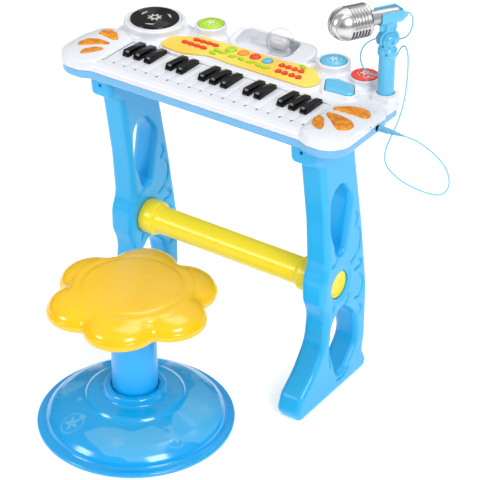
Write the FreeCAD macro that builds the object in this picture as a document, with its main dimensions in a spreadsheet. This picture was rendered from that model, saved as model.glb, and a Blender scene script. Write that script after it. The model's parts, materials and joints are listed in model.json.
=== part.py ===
import FreeCAD, Part
import math
import os
import re

from FreeCAD import Placement, Rotation, Vector

# Toy keyboard on two moulded legs, with a microphone on a post and a matching stool.
# Frame: +Z up, X along the keys, -Y towards the player, floor at Z = 0.
# Y positions in this file are measured from the front edge of the white keys and
# moved into the frame by key_front.

DIMENSIONS = {
    "key_front": 51.0, "key_top": 437.5, "key_pitch": 17.5, "key_gap": 0.4, "key_depth": 62.0,
    "key_tail": 20.0, "key_thick": 9.5, "black_width": 9.6, "black_depth": 39.0, "black_rise": 8.0,
    "pivot_back": 80.0, "pivot_z": 432.0,
    "shell_bottom": 414.0, "seam_z": 427.0, "deck_top": 440.0, "skin": 2.4,
    "deck_half": 224.0, "lip_depth": 22.0, "lobe_front": 28.0, "deck_rear": 150.0,
    "turret_top": 453.0, "disc_x": -157.0, "disc_y": 111.0, "disc_radius": 33.6, "disc_thick": 2.6,
    "pad_radius": 17.7, "pad_gap": 0.4, "pad_top": 455.5, "pad_travel": 2.0,
    "panel_bottom": 442.0, "panel_thick": 3.0, "button_top": 447.4, "button_foot": 437.4,
    "bay_floor": 431.0, "hump_top": 449.5, "hump_rear": 171.5,
    "dome_radius": 19.0, "dome_cut": 12.5, "dome_wall": 1.4, "dome_x": 22.0, "dome_y": 148.2, "dome_z": 454.0,
    "drum_radius": 8.5, "drum_length": 18.0,
    "leg_outer": 178.0, "leg_thick": 37.0, "bar_y": 64.0, "bar_z": 173.0, "bar_radius": 19.7,
    "bar_wall": 2.5, "bar_gap": 0.3, "bar_recess": 3.0, "collar_radius": 24.5, "collar_long": 23.0,
    "post_x": 207.0, "post_y": 112.0, "post_radius": 11.0, "post_foot": 430.0, "socket_top": 450.0,
    "ball_z": 525.0, "ball_radius": 13.0, "cheek_gap": 0.3,
    "mic_z": 558.0, "mic_turn": 240.0, "mic_rise": 0.0, "head_radius": 21.8, "grip_radius": 9.4,
    "clip_long": 30.0,
    "jack_y": 68.0, "jack_z": 423.5, "plug_radius": 4.2, "cord_diameter": 2.0,
    "stool_x": -12.0, "stool_y": -140.5, "base_radius": 133.0, "base_height": 46.0,
    "stool_post_radius": 31.0, "seat_radius": 113.0, "seat_top": 214.0, "seat_thick": 30.0,
}

doc = FreeCAD.newDocument("toy_keyboard")
sheet = doc.addObject("Spreadsheet::Sheet", "Dimensions")
for row, (alias, value) in enumerate(DIMENSIONS.items(), start=1):
    sheet.set("A%d" % row, alias)
    sheet.set("B%d" % row, str(value))
    sheet.setAlias("B%d" % row, alias)
doc.recompute()

NODES = []


def size(text):
    """Value of an expression written with the sheet's aliases."""
    return float(add_terms(text)) if isinstance(text, str) else float(text)


def add_terms(text):
    """Add up the plus and minus terms of an expression; each term is a product or a ratio."""
    total = 0.0
    for sign, term in re.findall(r"([+-]?)\s*([^+\-]+)", text):
        product = 1.0
        operator = "*"
        for piece in re.split(r"([*/])", term):
            piece = piece.strip()
            if piece in ("*", "/"):
                operator = piece
                continue
            number = getattr(sheet, piece) if piece[0].isalpha() else float(piece)
            product = product * number if operator == "*" else product / number
        total += -product if sign == "-" else product
    return total


def bind(item, prop, text):
    """Tie a property to the sheet when the size is an expression, else set the number."""
    if isinstance(text, str):
        item.setExpression(prop, re.sub(r"([a-z][a-z_]+)", r"Dimensions.\1", text))
    else:
        item.setExpression(prop, repr(float(text)))


def place(item, x, y, z, turn=None):
    """Put an item at X, at Y counted from the key front, and at Z."""
    if turn is not None:
        item.Placement = Placement(Vector(0, 0, 0), turn)
    bind(item, "Placement.Base.x", x)
    bind(item, "Placement.Base.y", "%s + key_front" % y)
    bind(item, "Placement.Base.z", z)
    return item


def box(name, length, width, height, x, y, z):
    item = doc.addObject("Part::Box", name)
    bind(item, "Length", length)
    bind(item, "Width", width)
    bind(item, "Height", height)
    return place(item, x, y, z)


def cylinder(name, radius, height, x, y, z, turn=None):
    item = doc.addObject("Part::Cylinder", name)
    bind(item, "Radius", radius)
    bind(item, "Height", height)
    return place(item, x, y, z, turn)


def cone(name, radius_low, radius_high, height, x, y, z):
    item = doc.addObject("Part::Cone", name)
    bind(item, "Radius1", radius_low)
    bind(item, "Radius2", radius_high)
    bind(item, "Height", height)
    return place(item, x, y, z)


def sphere(name, radius, x, y, z):
    item = doc.addObject("Part::Sphere", name)
    bind(item, "Radius", radius)
    return place(item, x, y, z)


def fuse(name, items):
    item = doc.addObject("Part::MultiFuse", name)
    item.Shapes = items
    return item


def cut(name, base, tools):
    item = doc.addObject("Part::Cut", name)
    item.Base = base
    item.Tool = tools[0] if len(tools) == 1 else fuse(name + "_tools", tools)
    return item


def solid(name, shape):
    item = doc.addObject("Part::Feature", name)
    item.Shape = shape
    return item


def node(item, label):
    item.Label = label
    NODES.append(item)
    return item


def rounded(corners):
    """Closed wire through (u, v, radius) corners, each rounded by a tangent arc."""
    edges = []
    ends = []
    for index, (u, v, radius) in enumerate(corners):
        here = Vector(u, v, 0)
        before = Vector(*corners[index - 1][:2], 0)
        after = Vector(*corners[(index + 1) % len(corners)][:2], 0)
        back = (before - here).normalize()
        ahead = (after - here).normalize()
        half = back.getAngle(ahead) / 2
        reach = radius / math.tan(half)
        middle = (back + ahead).normalize()
        centre = here + middle * (radius / math.sin(half))
        ends.append((here + back * reach, centre - middle * radius, here + ahead * reach))
    for index, (start, top, end) in enumerate(ends):
        edges.append(Part.Arc(start, top, end).toShape())
        edges.append(Part.LineSegment(end, ends[(index + 1) % len(ends)][0]).toShape())
    return Part.Wire(edges)


def slab(corners, low, high, inset=0.0):
    """Plate of a rounded outline, between two heights, its Y counted from the key front."""
    face = Part.Face(rounded(corners))
    if inset:
        face = face.makeOffset2D(-inset)
    shape = face.extrude(Vector(0, 0, size(high) - size(low)))
    shape.translate(Vector(0, sheet.key_front, size(low)))
    return shape


def sketch_on(body, role, corners, name):
    """Sketch of straight sides on one of the body's own planes."""
    item = body.newObject("Sketcher::SketchObject", name)
    plane = [f for f in body.Origin.OriginFeatures if f.Role == role][0]
    item.AttachmentSupport = [(plane, "")]
    item.MapMode = "FlatFace"
    for index, (u, v) in enumerate(corners):
        nxt = corners[(index + 1) % len(corners)]
        item.addGeometry(Part.LineSegment(Vector(u, v, 0), Vector(nxt[0], nxt[1], 0)))
    return item


# --- keys ---------------------------------------------------------------------------------

WHITE_COUNT = 18
BLACK_BOUNDARIES = [1, 2, 3, 5, 6, 8, 9, 10, 12, 13, 15, 16, 17]
TAIL_DROP = 2.6
PIVOT_RADIUS = 1.2
NOTCH_MARGIN = 0.6


def key_body(label, profile, width, centre_x):
    """Key bar: a side profile padded across the key, centred on centre_x."""
    body = doc.addObject("PartDesign::Body", label)
    side = sketch_on(body, "YZ_Plane", profile, label + "_side")
    side.addGeometry(Part.Circle(Vector(sheet.pivot_back, sheet.pivot_z, 0), Vector(0, 0, 1), PIVOT_RADIUS))
    pad = body.newObject("PartDesign::Pad", label + "_bar")
    pad.Profile = side
    pad.Midplane = True
    bind(pad, "Length", width)
    side.Visibility = False
    place(body, centre_x, "0", "0")
    return node(body, label)


def white_key(number):
    low = size("key_top - key_thick")
    top = size("key_top")
    depth = size("key_depth")
    back = size("key_depth + key_tail")
    profile = [(0, low), (0, top), (depth + 0.5, top), (depth + 2, top - TAIL_DROP),
               (back, top - TAIL_DROP), (back, low)]
    label = "white_key_%02d" % number
    centre = "key_pitch * %.1f" % (number - 0.5 - WHITE_COUNT / 2)
    body = key_body(label, profile, "key_pitch - key_gap", centre)
    half = size("key_pitch") / 2
    reach = size("black_width") / 2 + NOTCH_MARGIN
    front = size("key_depth - black_depth") - NOTCH_MARGIN
    for boundary, side in ((number - 1, -1), (number, 1)):
        if boundary not in BLACK_BOUNDARIES:
            continue
        inner = side * (half - reach)
        outer = side * (half + 1)
        corners = [(inner, front), (outer, front), (outer, back + 1), (inner, back + 1)]
        notch = sketch_on(body, "XY_Plane", corners, "%s_notch_%d" % (label, boundary))
        pocket = body.newObject("PartDesign::Pocket", "%s_step_%d" % (label, boundary))
        pocket.Profile = notch
        pocket.Reversed = True
        pocket.Type = "ThroughAll"
        notch.Visibility = False


def black_key(number, boundary):
    low = size("key_top - key_thick")
    top = size("key_top + black_rise")
    front = size("key_depth - black_depth")
    depth = size("key_depth")
    back = size("key_depth + key_tail")
    profile = [(front, low), (front, size("key_top") + 2), (front + 3, top), (depth - 0.3, top - 3),
               (depth + 0.3, size("key_top") - TAIL_DROP), (back, size("key_top") - TAIL_DROP), (back, low)]
    centre = "key_pitch * %d" % (boundary - WHITE_COUNT // 2)
    key_body("black_key_%02d" % number, profile, "black_width", centre)


for number in range(1, WHITE_COUNT + 1):
    white_key(number)
for number, boundary in enumerate(BLACK_BOUNDARIES, start=1):
    black_key(number, boundary)

# --- housings -----------------------------------------------------------------------------

DECK = [(-165, -22, 24), (-178, -28, 14), (-224, -28, 32), (-224, 36, 30), (-204, 62, 30),
        (-200, 150, 30), (184, 150, 8), (189, 125, 6), (220.5, 125, 6), (220.5, 94, 8), (224, 86, 8),
        (224, -28, 32), (178, -28, 14), (165, -22, 24)]
PANEL = [(-118, 66, 11), (-78, 64, 14), (-44, 78, 20), (-8, 75, 30), (112, 75, 14), (121, 98, 18),
         (92, 124.5, 12), (66, 124.5, 18), (48, 120, 30), (-44, 120, 30), (-80, 118.8, 10), (-118, 96, 20)]
VOICE_BUTTON = [(134, 83, 4), (176, 86, 7), (160, 112, 6), (131, 118, 7), (118.5, 111, 4)]
BAY = [(-42, 129, 12), (46, 129, 12), (46, 167.4, 12), (-42, 167.4, 12)]
HUMP = [(-56, 126, 16), (84, 126, 22), (70, 171.5, 18), (-48, 171.5, 18)]
SLICES_RIGHT = [
    [(163, 26.3, 2.5), (172.8, 21.6, 3), (184.4, 5, 6), (189, -8.2, 3), (180.4, -8, 4), (167.6, 1.4, 8),
     (161.8, 13.7, 6)],
    [(165, 38, 3), (188, 38.8, 14), (206, 34.5, 12), (215.5, 25, 8), (215.5, 12, 7), (206, 2, 5),
     (195, 8, 14), (174.3, 26.7, 14)],
    [(166, 50, 3), (171, 56, 3), (185, 66.5, 14), (199, 71.5, 14), (212, 68, 8), (218, 60, 6),
     (217.5, 50, 5), (206, 47, 14), (192, 45.4, 14), (174, 46.8, 8)],
]
SLICES_LEFT = [
    [(-190.5, -11.5, 4), (-194, 0, 8), (-185.5, 13.5, 10), (-172, 21, 2.5), (-172, 12, 8), (-179.5, -6, 10),
     (-185, -12.5, 3)],
    [(-205.5, 2, 5), (-211.5, 14, 7), (-207.6, 29.2, 9), (-193, 37, 12), (-174, 35.5, 3), (-174.2, 30, 3),
     (-188.5, 18, 14)],
    [(-206, 47.5, 5), (-207.5, 59, 6), (-199.5, 68, 7), (-184.4, 64.8, 10), (-172, 49.5, 3),
     (-177.9, 43.3, 3), (-195, 45.6, 14)],
]
DRUM_PADS = [("green", -87.0, 143.5, 4.2), ("blue", 108.0, 145.3, 5.2), ("red", 162.6, 134.0, 2.4)]
DISC_RIM = 8.5
TOWER_FLARE = 0.35


def towers(prefix, inset, low, high, flare):
    """The round towers under the record disc and the drum pads, wider at the foot by the flare."""
    rise = "%s - (%s)" % (high, low)
    places = [("disc", "disc_radius", "disc_x", "disc_y", DISC_RIM)]
    places += [(colour, "pad_radius", x, str(y), rim) for colour, x, y, rim in DRUM_PADS]
    posts = []
    for name, radius, x, y, rim in places:
        foot = "%s + %g" % (radius, rim * (1 + flare) - inset)
        top = "%s + %g" % (radius, rim - inset)
        posts.append(cone("%s_%s" % (prefix, name), foot, top, rise, x, y, low))
    return posts


def lower_housing():
    """Blue tray that closes the keyboard from below."""
    wall = size("skin")
    outer = fuse("tray_outer", [solid("tray_plan", slab(DECK, "shell_bottom", "seam_z")),
                                solid("tray_hump", slab(HUMP, "shell_bottom", "seam_z"))]
                 + towers("tray_tower", 0.0, "shell_bottom", "seam_z", TOWER_FLARE))
    inner = [solid("tray_room", slab(DECK, "shell_bottom + skin", "seam_z + 1", wall))]
    hatch = box("hatch_hole", 96.8, 56.8, 20, -48.4, 4.6, "shell_bottom - 5")
    grille = [cylinder("grille_%d" % n, 1.6, 20, -110 + 12 * math.cos(n * math.pi / 4),
                       "%.3f" % (88 + 12 * math.sin(n * math.pi / 4)), "shell_bottom - 5") for n in range(8)]
    jack = cylinder("tray_jack", "plug_radius + 0.3", 20, "deck_half - 12", "jack_y", "jack_z",
                    Rotation(Vector(0, 1, 0), 90))
    tray = cut("tray", outer, inner + [hatch, jack] + grille)
    return node(tray, "lower_housing")


def upper_housing():
    """White deck with the towers, the rear bay and the microphone's socket block."""
    wall = size("skin")
    outer = fuse("deck_outer", [solid("deck_plan", slab(DECK, "seam_z", "deck_top")),
                                solid("deck_hump", slab(HUMP, "seam_z", "hump_top")),
                                solid("deck_panel_seat", slab(PANEL, "deck_top", "panel_bottom", -2.5)),
                                box("deck_socket", 27, 26.5, "socket_top - seam_z", 193.5, "98.5", "seam_z")]
                 + towers("tower", 0.0, "seam_z", "turret_top", TOWER_FLARE))
    room = [solid("deck_room", slab(DECK, "seam_z - 1", "deck_top - skin", wall))]
    room += towers("tower_room", wall, "seam_z - 1", "turret_top - 7.4", 0.0)
    shelled = cut("deck_shelled", outer, room)
    filled = fuse("deck_filled", [shelled, solid("bay_tub", slab(BAY, "bay_floor - skin", "hump_top", -wall)),
                                  cylinder("post_socket", "post_radius + 2", "socket_top - seam_z",
                                           "post_x", "post_y", "seam_z"),
                                  ])
    holes = [box("key_window", "key_pitch * 18 + 0.8", "key_depth + 0.9", 40, "0 - key_pitch * 9 - 0.4",
                 "0 - 0.5", "seam_z - 5"),
             solid("bay_room", slab(BAY, "bay_floor", "hump_top + 5")),
             box("panel_window", 196, 36, 30, -99, "79", "seam_z"),
             box("oval_window", 14, 12, 30, 71, "112", "seam_z"),
             solid("voice_hole", slab(VOICE_BUTTON, "seam_z", "deck_top + 5", -0.5)),
             cylinder("post_bore", "post_radius + 0.05", 40, "post_x", "post_y", "post_foot"),
             cylinder("spindle_bore", 3.05, 30, "disc_x", "disc_y", "seam_z + 8")]
    for colour, x, y, _ in DRUM_PADS:
        holes.append(cylinder("well_" + colour, "pad_radius + pad_gap", 20, x, str(y), "turret_top - 5"))
        holes.append(cylinder("stem_bore_" + colour, 4.3, 30, x, str(y), "seam_z + 8"))
    shell = cut("deck_bored", filled, holes)
    yoke = [cylinder("dome_seat", 14, "dome_z - dome_cut - bay_floor", "dome_x", "dome_y", "bay_floor")]
    for side, offset in (("left", -11.0), ("right", 9.6)):
        yoke.append(box("drum_cheek_" + side, 1.4, 6, 16, "dome_x + %g" % offset, "dome_y - 3",
                        "dome_z - 14"))
    axle_bore = cylinder("drum_axle_bore", 1.55, 30, "dome_x - 15", "dome_y", "dome_z - 2",
                         Rotation(Vector(0, 1, 0), 90))
    return node(cut("deck", fuse("deck_with_yoke", [shell] + yoke), [axle_bore]), "upper_housing")


lower_housing()
upper_housing()
node(box("battery_cover", 96, 56, 2.2, -48, "5", "shell_bottom"), "battery_cover")

# --- buttons, pads and lights -------------------------------------------------------------

MODE_BUTTONS = [(-28, 106.5), (-9, 107.5), (10, 107.5), (30, 106.5)]
RED_BUTTONS = [(-82, 104), (-72, 104.5), (-62, 105), (-52, 105), (-91, 90), (-81, 90), (-71, 90), (-61, 90),
               (53, 107), (63, 107), (73, 107), (83, 107), (58, 91), (68, 91), (79, 91), (89, 91)]
GREEN_BUTTONS = [(-42, 94), (-31, 93), (-43, 84.5), (-15, 91), (-1, 91), (14, 91), (27, 90), (39, 89),
                 (78, 118)]
BUTTON_RADIUS = {"mode": 7.2, "red": 3.9, "green": 3.9}
BUTTON_GAP = 0.4


def stubs(prefix, places, radius, extra, low, high):
    rise = "%s - (%s)" % (high, low)
    return [cylinder("%s_%d" % (prefix, n), radius + extra, rise, x, str(y), low)
            for n, (x, y) in enumerate(places)]


def button_group(label, places, radius):
    """Buttons of one moulded keypad, as separate solids of one node."""
    item = doc.addObject("Part::Compound", label)
    item.Links = stubs(label + "_top", places, radius, 0.0, "button_foot", "button_top")
    return node(item, label)


def control_panel():
    plate = solid("panel_plate", slab(PANEL, "panel_bottom", "panel_bottom + panel_thick"))
    holes = []
    for name, places in (("mode", MODE_BUTTONS), ("red", RED_BUTTONS), ("green", GREEN_BUTTONS)):
        holes += stubs("panel_hole_" + name, places, BUTTON_RADIUS[name], BUTTON_GAP, "panel_bottom - 5",
                       "button_top")
    return node(cut("panel", plate, holes), "control_panel")


def drum_pad(colour, x, y):
    """Domed cap on a stem that slides in the tower."""
    cap = cylinder("pad_cap_" + colour, "pad_radius", "pad_top - turret_top + 2", x, y, "turret_top - 2")
    crown = sphere("pad_crown_" + colour, 75, x, y, "pad_top - 75")
    dome = doc.addObject("Part::MultiCommon", "pad_dome_" + colour)
    dome.Shapes = [cap, crown]
    stem = cylinder("pad_stem_" + colour, 4.0, 14, x, y, "turret_top - 15.5")
    return node(fuse("drum_pad_" + colour, [dome, stem]), "drum_pad_" + colour)


control_panel()
button_group("mode_buttons", MODE_BUTTONS, BUTTON_RADIUS["mode"])
button_group("keypad_red", RED_BUTTONS, BUTTON_RADIUS["red"])
button_group("keypad_green", GREEN_BUTTONS, BUTTON_RADIUS["green"])
node(solid("voice_button", slab(VOICE_BUTTON, "button_foot", "button_top - 1")), "voice_button")
for colour, x, y, _ in DRUM_PADS:
    drum_pad(colour, x, str(y))

lenses = doc.addObject("Part::Compound", "light_lenses")
lenses.Links = [solid("lens_%d" % n, slab(corners, "deck_top", "deck_top + 4"))
                for n, corners in enumerate(SLICES_LEFT + SLICES_RIGHT)]
node(lenses, "light_lenses")

record = fuse("turntable_disc", [
    cylinder("record_plate", "disc_radius", "disc_thick", "disc_x", "disc_y", "turret_top + 0.3"),
    cylinder("record_spindle", 3.0, 12, "disc_x", "disc_y", "turret_top - 11.5")])
node(record, "turntable_disc")

# --- rotating light in the rear bay -------------------------------------------------------

globe = cut("globe_shell", sphere("globe_outer", "dome_radius", "dome_x", "dome_y", "dome_z"),
            [sphere("globe_inner", "dome_radius - dome_wall", "dome_x", "dome_y", "dome_z"),
             box("globe_floor", 60, 60, 30, "dome_x - 30", "dome_y - 30", "dome_z - dome_cut - 30")])
node(globe, "light_dome")

drum = fuse("light_drum", [
    cylinder("drum_barrel", "drum_radius", "drum_length", "dome_x - drum_length / 2", "dome_y", "dome_z - 2",
             Rotation(Vector(0, 1, 0), 90)),
    cylinder("drum_axle", 1.5, "drum_length + 4", "dome_x - drum_length / 2 - 2", "dome_y", "dome_z - 2",
             Rotation(Vector(0, 1, 0), 90))])
node(drum, "light_drum")

# --- legs and crossbar --------------------------------------------------------------------

LEG = [(-24, 0, 6), (-33, 14, 10), (-20, 38, 20), (12, 62, 40), (32, 112, 60), (33, 142, 8), (24, 160, 10),
       (24, 186, 10), (33, 206, 10), (29, 280, 60), (18, 366, 12), (-6, 396, 10), (-10, 414, 1),
       (90, 414, 1), (96, 360, 40), (118, 250, 60), (136, 140, 60), (136, 60, 30), (132, 32, 8),
       (142, 12, 6), (136, 0, 4)]
LEG_UPPER_GAP = [(66, 330, 12), (42, 304, 14), (48, 250, 30), (62, 216, 7), (78, 222, 7), (88, 290, 20)]
LEG_LOWER_GAP = [(74, 134, 10), (50, 110, 16), (48, 76, 20), (66, 26, 6), (80, 30, 6), (114, 62, 16),
                 (104, 108, 24)]


def leg(side):
    """Moulded leg panel: its outline lies in the YZ plane and it is padded along X."""
    low = size("leg_outer - leg_thick") if side > 0 else -size("leg_outer")
    face = Part.Face(rounded(LEG))
    for gap in (LEG_UPPER_GAP, LEG_LOWER_GAP):
        face = face.cut(Part.Face(rounded(gap)))
    shape = face.extrude(Vector(0, 0, sheet.leg_thick))
    shape.rotate(Vector(0, 0, 0), Vector(1, 1, 1), 120)
    shape.translate(Vector(low, sheet.key_front, 0))
    name = "right_leg" if side > 0 else "left_leg"
    bore = cylinder(name + "_bore", "bar_radius + bar_gap", 60, low - 10, "bar_y", "bar_z",
                    Rotation(Vector(0, 1, 0), 90))
    return node(cut(name, solid(name + "_panel", shape), [bore]), name)


leg(-1)
leg(1)
along_x = Rotation(Vector(0, 1, 0), 90)
bar_solids = [
    cylinder("bar_outer", "bar_radius", "2 * leg_outer - 2 * bar_recess", "bar_recess - leg_outer",
             "bar_y", "bar_z", along_x),
    cylinder("bar_collar_left", "collar_radius", "collar_long", "leg_thick - leg_outer",
             "bar_y", "bar_z", along_x),
    cylinder("bar_collar_right", "collar_radius", "collar_long", "leg_outer - leg_thick - collar_long",
             "bar_y", "bar_z", along_x)]
bar = cut("crossbar", fuse("bar_solid", bar_solids),
          [cylinder("bar_inner", "bar_radius - bar_wall", "2 * leg_outer - 2 * bar_recess - 2 * bar_wall",
                    "bar_recess + bar_wall - leg_outer", "bar_y", "bar_z", along_x)])
node(bar, "crossbar")

# --- microphone, post and cradle ----------------------------------------------------------

mic_turn = math.radians(sheet.mic_turn)
mic_rise = math.radians(sheet.mic_rise)
mic_axis = Vector(math.cos(mic_turn) * math.cos(mic_rise), math.sin(mic_turn) * math.cos(mic_rise),
                  math.sin(mic_rise))
mic_side = Vector(0, 0, 1).cross(mic_axis).normalize()
mic_up = mic_axis.cross(mic_side).normalize()
mic_origin = Vector(sheet.post_x, sheet.post_y + sheet.key_front, sheet.mic_z)
mic_turned = Rotation(mic_side, mic_up, mic_axis, "ZXY")


def mic_solid(name, shape):
    """Solid drawn with its own Z along the microphone, put on the cradle's axis."""
    shape.transformShape(Placement(mic_origin, mic_turned).toMatrix())
    return solid(name, shape)


def revolved(points):
    """Solid of revolution of (radius, height) points about Z."""
    wire = Part.makePolygon([Vector(r, 0, z) for r, z in points + points[:1]])
    return Part.Face(wire).revolve(Vector(0, 0, 0), Vector(0, 0, 1), 360)


def microphone():
    grip = sheet.grip_radius
    head = sheet.head_radius
    handle = revolved([(0, -14), (grip - 2, -14), (grip - 1, -12), (grip, 8), (grip, 15.6),
                       (grip + 1.2, 26), (grip + 1.2, 29.5), (0, 29.5)])
    node(mic_solid("microphone_body", handle), "microphone_body")
    shell = revolved([(0, 30), (head - 6, 30), (head - 1, 33), (head, 40), (head, 60), (head - 3, 69.5),
                      (head - 9, 77.5), (head - 17, 82), (0, 83.5)])
    shell = shell.cut(revolved([(0, 32), (head - 7, 32), (head - 3, 34.5), (head - 2, 40), (head - 2, 59),
                                (head - 5, 68), (head - 10.5, 75.5), (head - 17, 79.5), (0, 81.5)]))
    node(mic_solid("microphone_head", shell), "microphone_head")


def mic_post():
    """Post with a two-cheeked ball fork at its top."""
    stem = cylinder("post_stem", "post_radius", "ball_z - 10 - post_foot", "post_x", "post_y", "post_foot")
    collar = cone("post_collar", "post_radius", 13, 6, "post_x", "post_y", "ball_z - 20")
    ball = sphere("post_ball", "ball_radius", "post_x", "post_y", "ball_z")
    slot = Part.makeBox(40, 12, 40, Vector(-20, -6, -8))
    turned = Placement(Vector(sheet.post_x, sheet.post_y + sheet.key_front, sheet.ball_z),
                       Rotation(Vector(0, 0, 1), sheet.mic_turn))
    slot.transformShape(turned.toMatrix())
    bore = Part.makeCylinder(2.05, 50, Vector(0, -25, 0), Vector(0, 1, 0))
    bore.transformShape(turned.toMatrix())
    item = cut("mic_post", fuse("post_whole", [stem, collar, ball]),
               [solid("post_slot", slot), solid("post_pin_bore", bore)])
    return node(item, "mic_post")


def mic_cradle():
    """Tilting tongue with its pin, and the U clip that holds the grip."""
    drop = sheet.ball_z - sheet.mic_z
    inner = sheet.grip_radius + 0.3
    tongue = Part.makeCylinder(7, 11.4, Vector(0, -5.7, drop), Vector(0, 1, 0))
    neck = Part.makeBox(11, 11.4, -drop - inner - 1, Vector(-5.5, -5.7, drop))
    pin = Part.makeCylinder(2.0, 25, Vector(0, -12.5, drop), Vector(0, 1, 0))
    reach = sheet.clip_long / 2
    clip = Part.makeCylinder(inner + 2.4, 2 * reach, Vector(-reach, 0, 0), Vector(1, 0, 0))
    walls = Part.makeBox(2 * reach, 2 * (inner + 2.4), 8, Vector(-reach, -inner - 2.4, 0))
    hollow = Part.makeCylinder(inner, 2 * reach, Vector(-reach, 0, 0), Vector(1, 0, 0))
    mouth = Part.makeBox(2 * reach, 2 * inner, 30, Vector(-reach, -inner, 0))
    clip = clip.common(Part.makeBox(60, 60, 30, Vector(-30, -30, -30))).fuse(walls)
    level = Rotation(Vector(0, 0, 1), sheet.mic_turn)
    pitched = Rotation(Vector(0, 1, 0), -sheet.mic_rise)
    clip = clip.cut(hollow.fuse(mouth))
    clip.transformShape(Placement(Vector(0, 0, 0), pitched).toMatrix())
    shape = tongue.fuse([neck, pin, clip]).removeSplitter()
    shape.transformShape(Placement(mic_origin, level).toMatrix())
    return node(solid("mic_cradle", shape), "mic_cradle")


microphone()
mic_post()
mic_cradle()

# --- cord and plug ------------------------------------------------------------------------

CORD_ROUTE = [
    (214.2, 124.5, 558.0), (219.5, 133.5, 558.5), (227.5, 137.5, 551.5), (229.5, 133.0, 538.0),
    (224.5, 130.5, 525.0), (211.0, 132.5, 516.5), (195.0, 132.5, 516.0), (178.0, 129.0, 510.5),
    (164.0, 127.0, 499.0), (158.5, 126.0, 483.0), (162.0, 126.5, 466.5), (175.0, 128.0, 457.5),
    (191.0, 130.0, 463.0), (203.0, 131.0, 480.0), (211.0, 129.5, 496.0), (217.5, 126.5, 509.0),
    (224.5, 123.0, 516.5), (231.5, 119.0, 514.0), (235.0, 116.8, 502.0), (235.0, 116.8, 480.0),
    (233.0, 117.5, 450.0), (231.0, 109.5, 422.5), (230.0, 93.0, 404.0), (230.0, 77.0, 390.0),
    (236.0, 67.0, 375.5), (255.0, 63.0, 365.0), (278.0, 62.0, 359.0), (302.0, 61.5, 357.5),
    (324.0, 62.0, 361.0), (333.5, 63.0, 379.0), (327.0, 64.0, 400.0), (307.0, 65.5, 414.5),
    (284.0, 67.0, 422.5), (270.0, 68.0, 423.5), (262.0, 68.0, 423.5),
]
RUN_SHARE = 0.45


def cord():
    """Cord from the microphone's tail, looped round the post, down to the jack plug."""
    points = [Vector(x, y + sheet.key_front, z) for x, y, z in CORD_ROUTE]
    edges = []
    start = points[0]
    for before, here, after in zip(points, points[1:], points[2:]):
        back = before - here
        ahead = after - here
        half_turn = (math.pi - back.getAngle(ahead)) / 2
        reach = RUN_SHARE * min(back.Length, ahead.Length)
        radius = reach / math.tan(half_turn)
        print("cord bend radius %.1f mm" % radius)
        back = back.normalize()
        ahead = ahead.normalize()
        centre = here + (back + ahead).normalize() * (radius / math.cos(half_turn))
        top = centre + (here - centre).normalize() * radius
        edges.append(Part.LineSegment(start, here + back * reach).toShape())
        edges.append(Part.Arc(here + back * reach, top, here + ahead * reach).toShape())
        start = here + ahead * reach
    edges.append(Part.LineSegment(start, points[-1]).toShape())
    path = Part.Wire(edges)
    radius = sheet.cord_diameter / 2
    ring = Part.Wire(Part.Circle(points[0], points[1] - points[0], radius).toShape())
    tube = path.makePipeShell([ring], True, True)
    wanted = math.pi * radius ** 2 * path.Length
    print("cord length %.1f mm, volume %.1f of %.1f" % (path.Length, tube.Volume, wanted))
    if abs(tube.Volume / wanted - 1) > 0.01:
        raise ValueError("the cord's volume does not match its length")
    return node(solid("mic_cord", tube), "mic_cord")


def mic_plug():
    """Jack plug: pin inside the shell, grip and tapered strain relief outside."""
    grip = sheet.plug_radius
    shape = revolved([(0, -14), (1.2, -14), (1.75, -12), (1.75, 0), (grip, 0), (grip, 14), (grip - 0.8, 16),
                      (grip - 1.0, 20), (1.6, 36), (0, 36)])
    shape.transformShape(Placement(Vector(226, sheet.jack_y + sheet.key_front, sheet.jack_z),
                                   Rotation(Vector(0, 1, 0), 90)).toMatrix())
    return node(solid("mic_plug", shape), "mic_plug")


cord()
mic_plug()

# --- stool --------------------------------------------------------------------------------


def stool_base():
    """Bell-shaped foot."""
    rim = sheet.base_radius
    high = sheet.base_height
    collar = sheet.stool_post_radius + 10
    outer = [(rim, 6), (rim - 9, 8), (rim - 13, 16), (rim - 30, 29), (rim - 52, 38), (rim - 67, 42),
             (rim - 68, high), (collar + 2, high), (collar, high + 12)]
    wall = 3.0
    inner = [(radius - wall, height - wall) for radius, height in outer[:7]] + [(collar, high - wall)]
    shape = revolved([(rim, 0)] + outer + [(collar - 9.7, high + 12), (collar - 9.7, 4), (collar - 14, 4),
                                           (collar - 14, 0), (collar, 0)] + inner[::-1] + [(rim - wall, 0)])
    shape.translate(Vector(sheet.stool_x, sheet.stool_y + sheet.key_front, 0))
    return node(solid("stool_base", shape), "stool_base")


def stool_post():
    shape = revolved([(sheet.stool_post_radius - 3, 5), (sheet.stool_post_radius, 5),
                      (sheet.stool_post_radius, sheet.seat_top - sheet.seat_thick),
                      (sheet.stool_post_radius - 3, sheet.seat_top - sheet.seat_thick)])
    shape.translate(Vector(sheet.stool_x, sheet.stool_y + sheet.key_front, 0))
    return node(solid("stool_post", shape), "stool_post")


PETALS = 6


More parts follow.
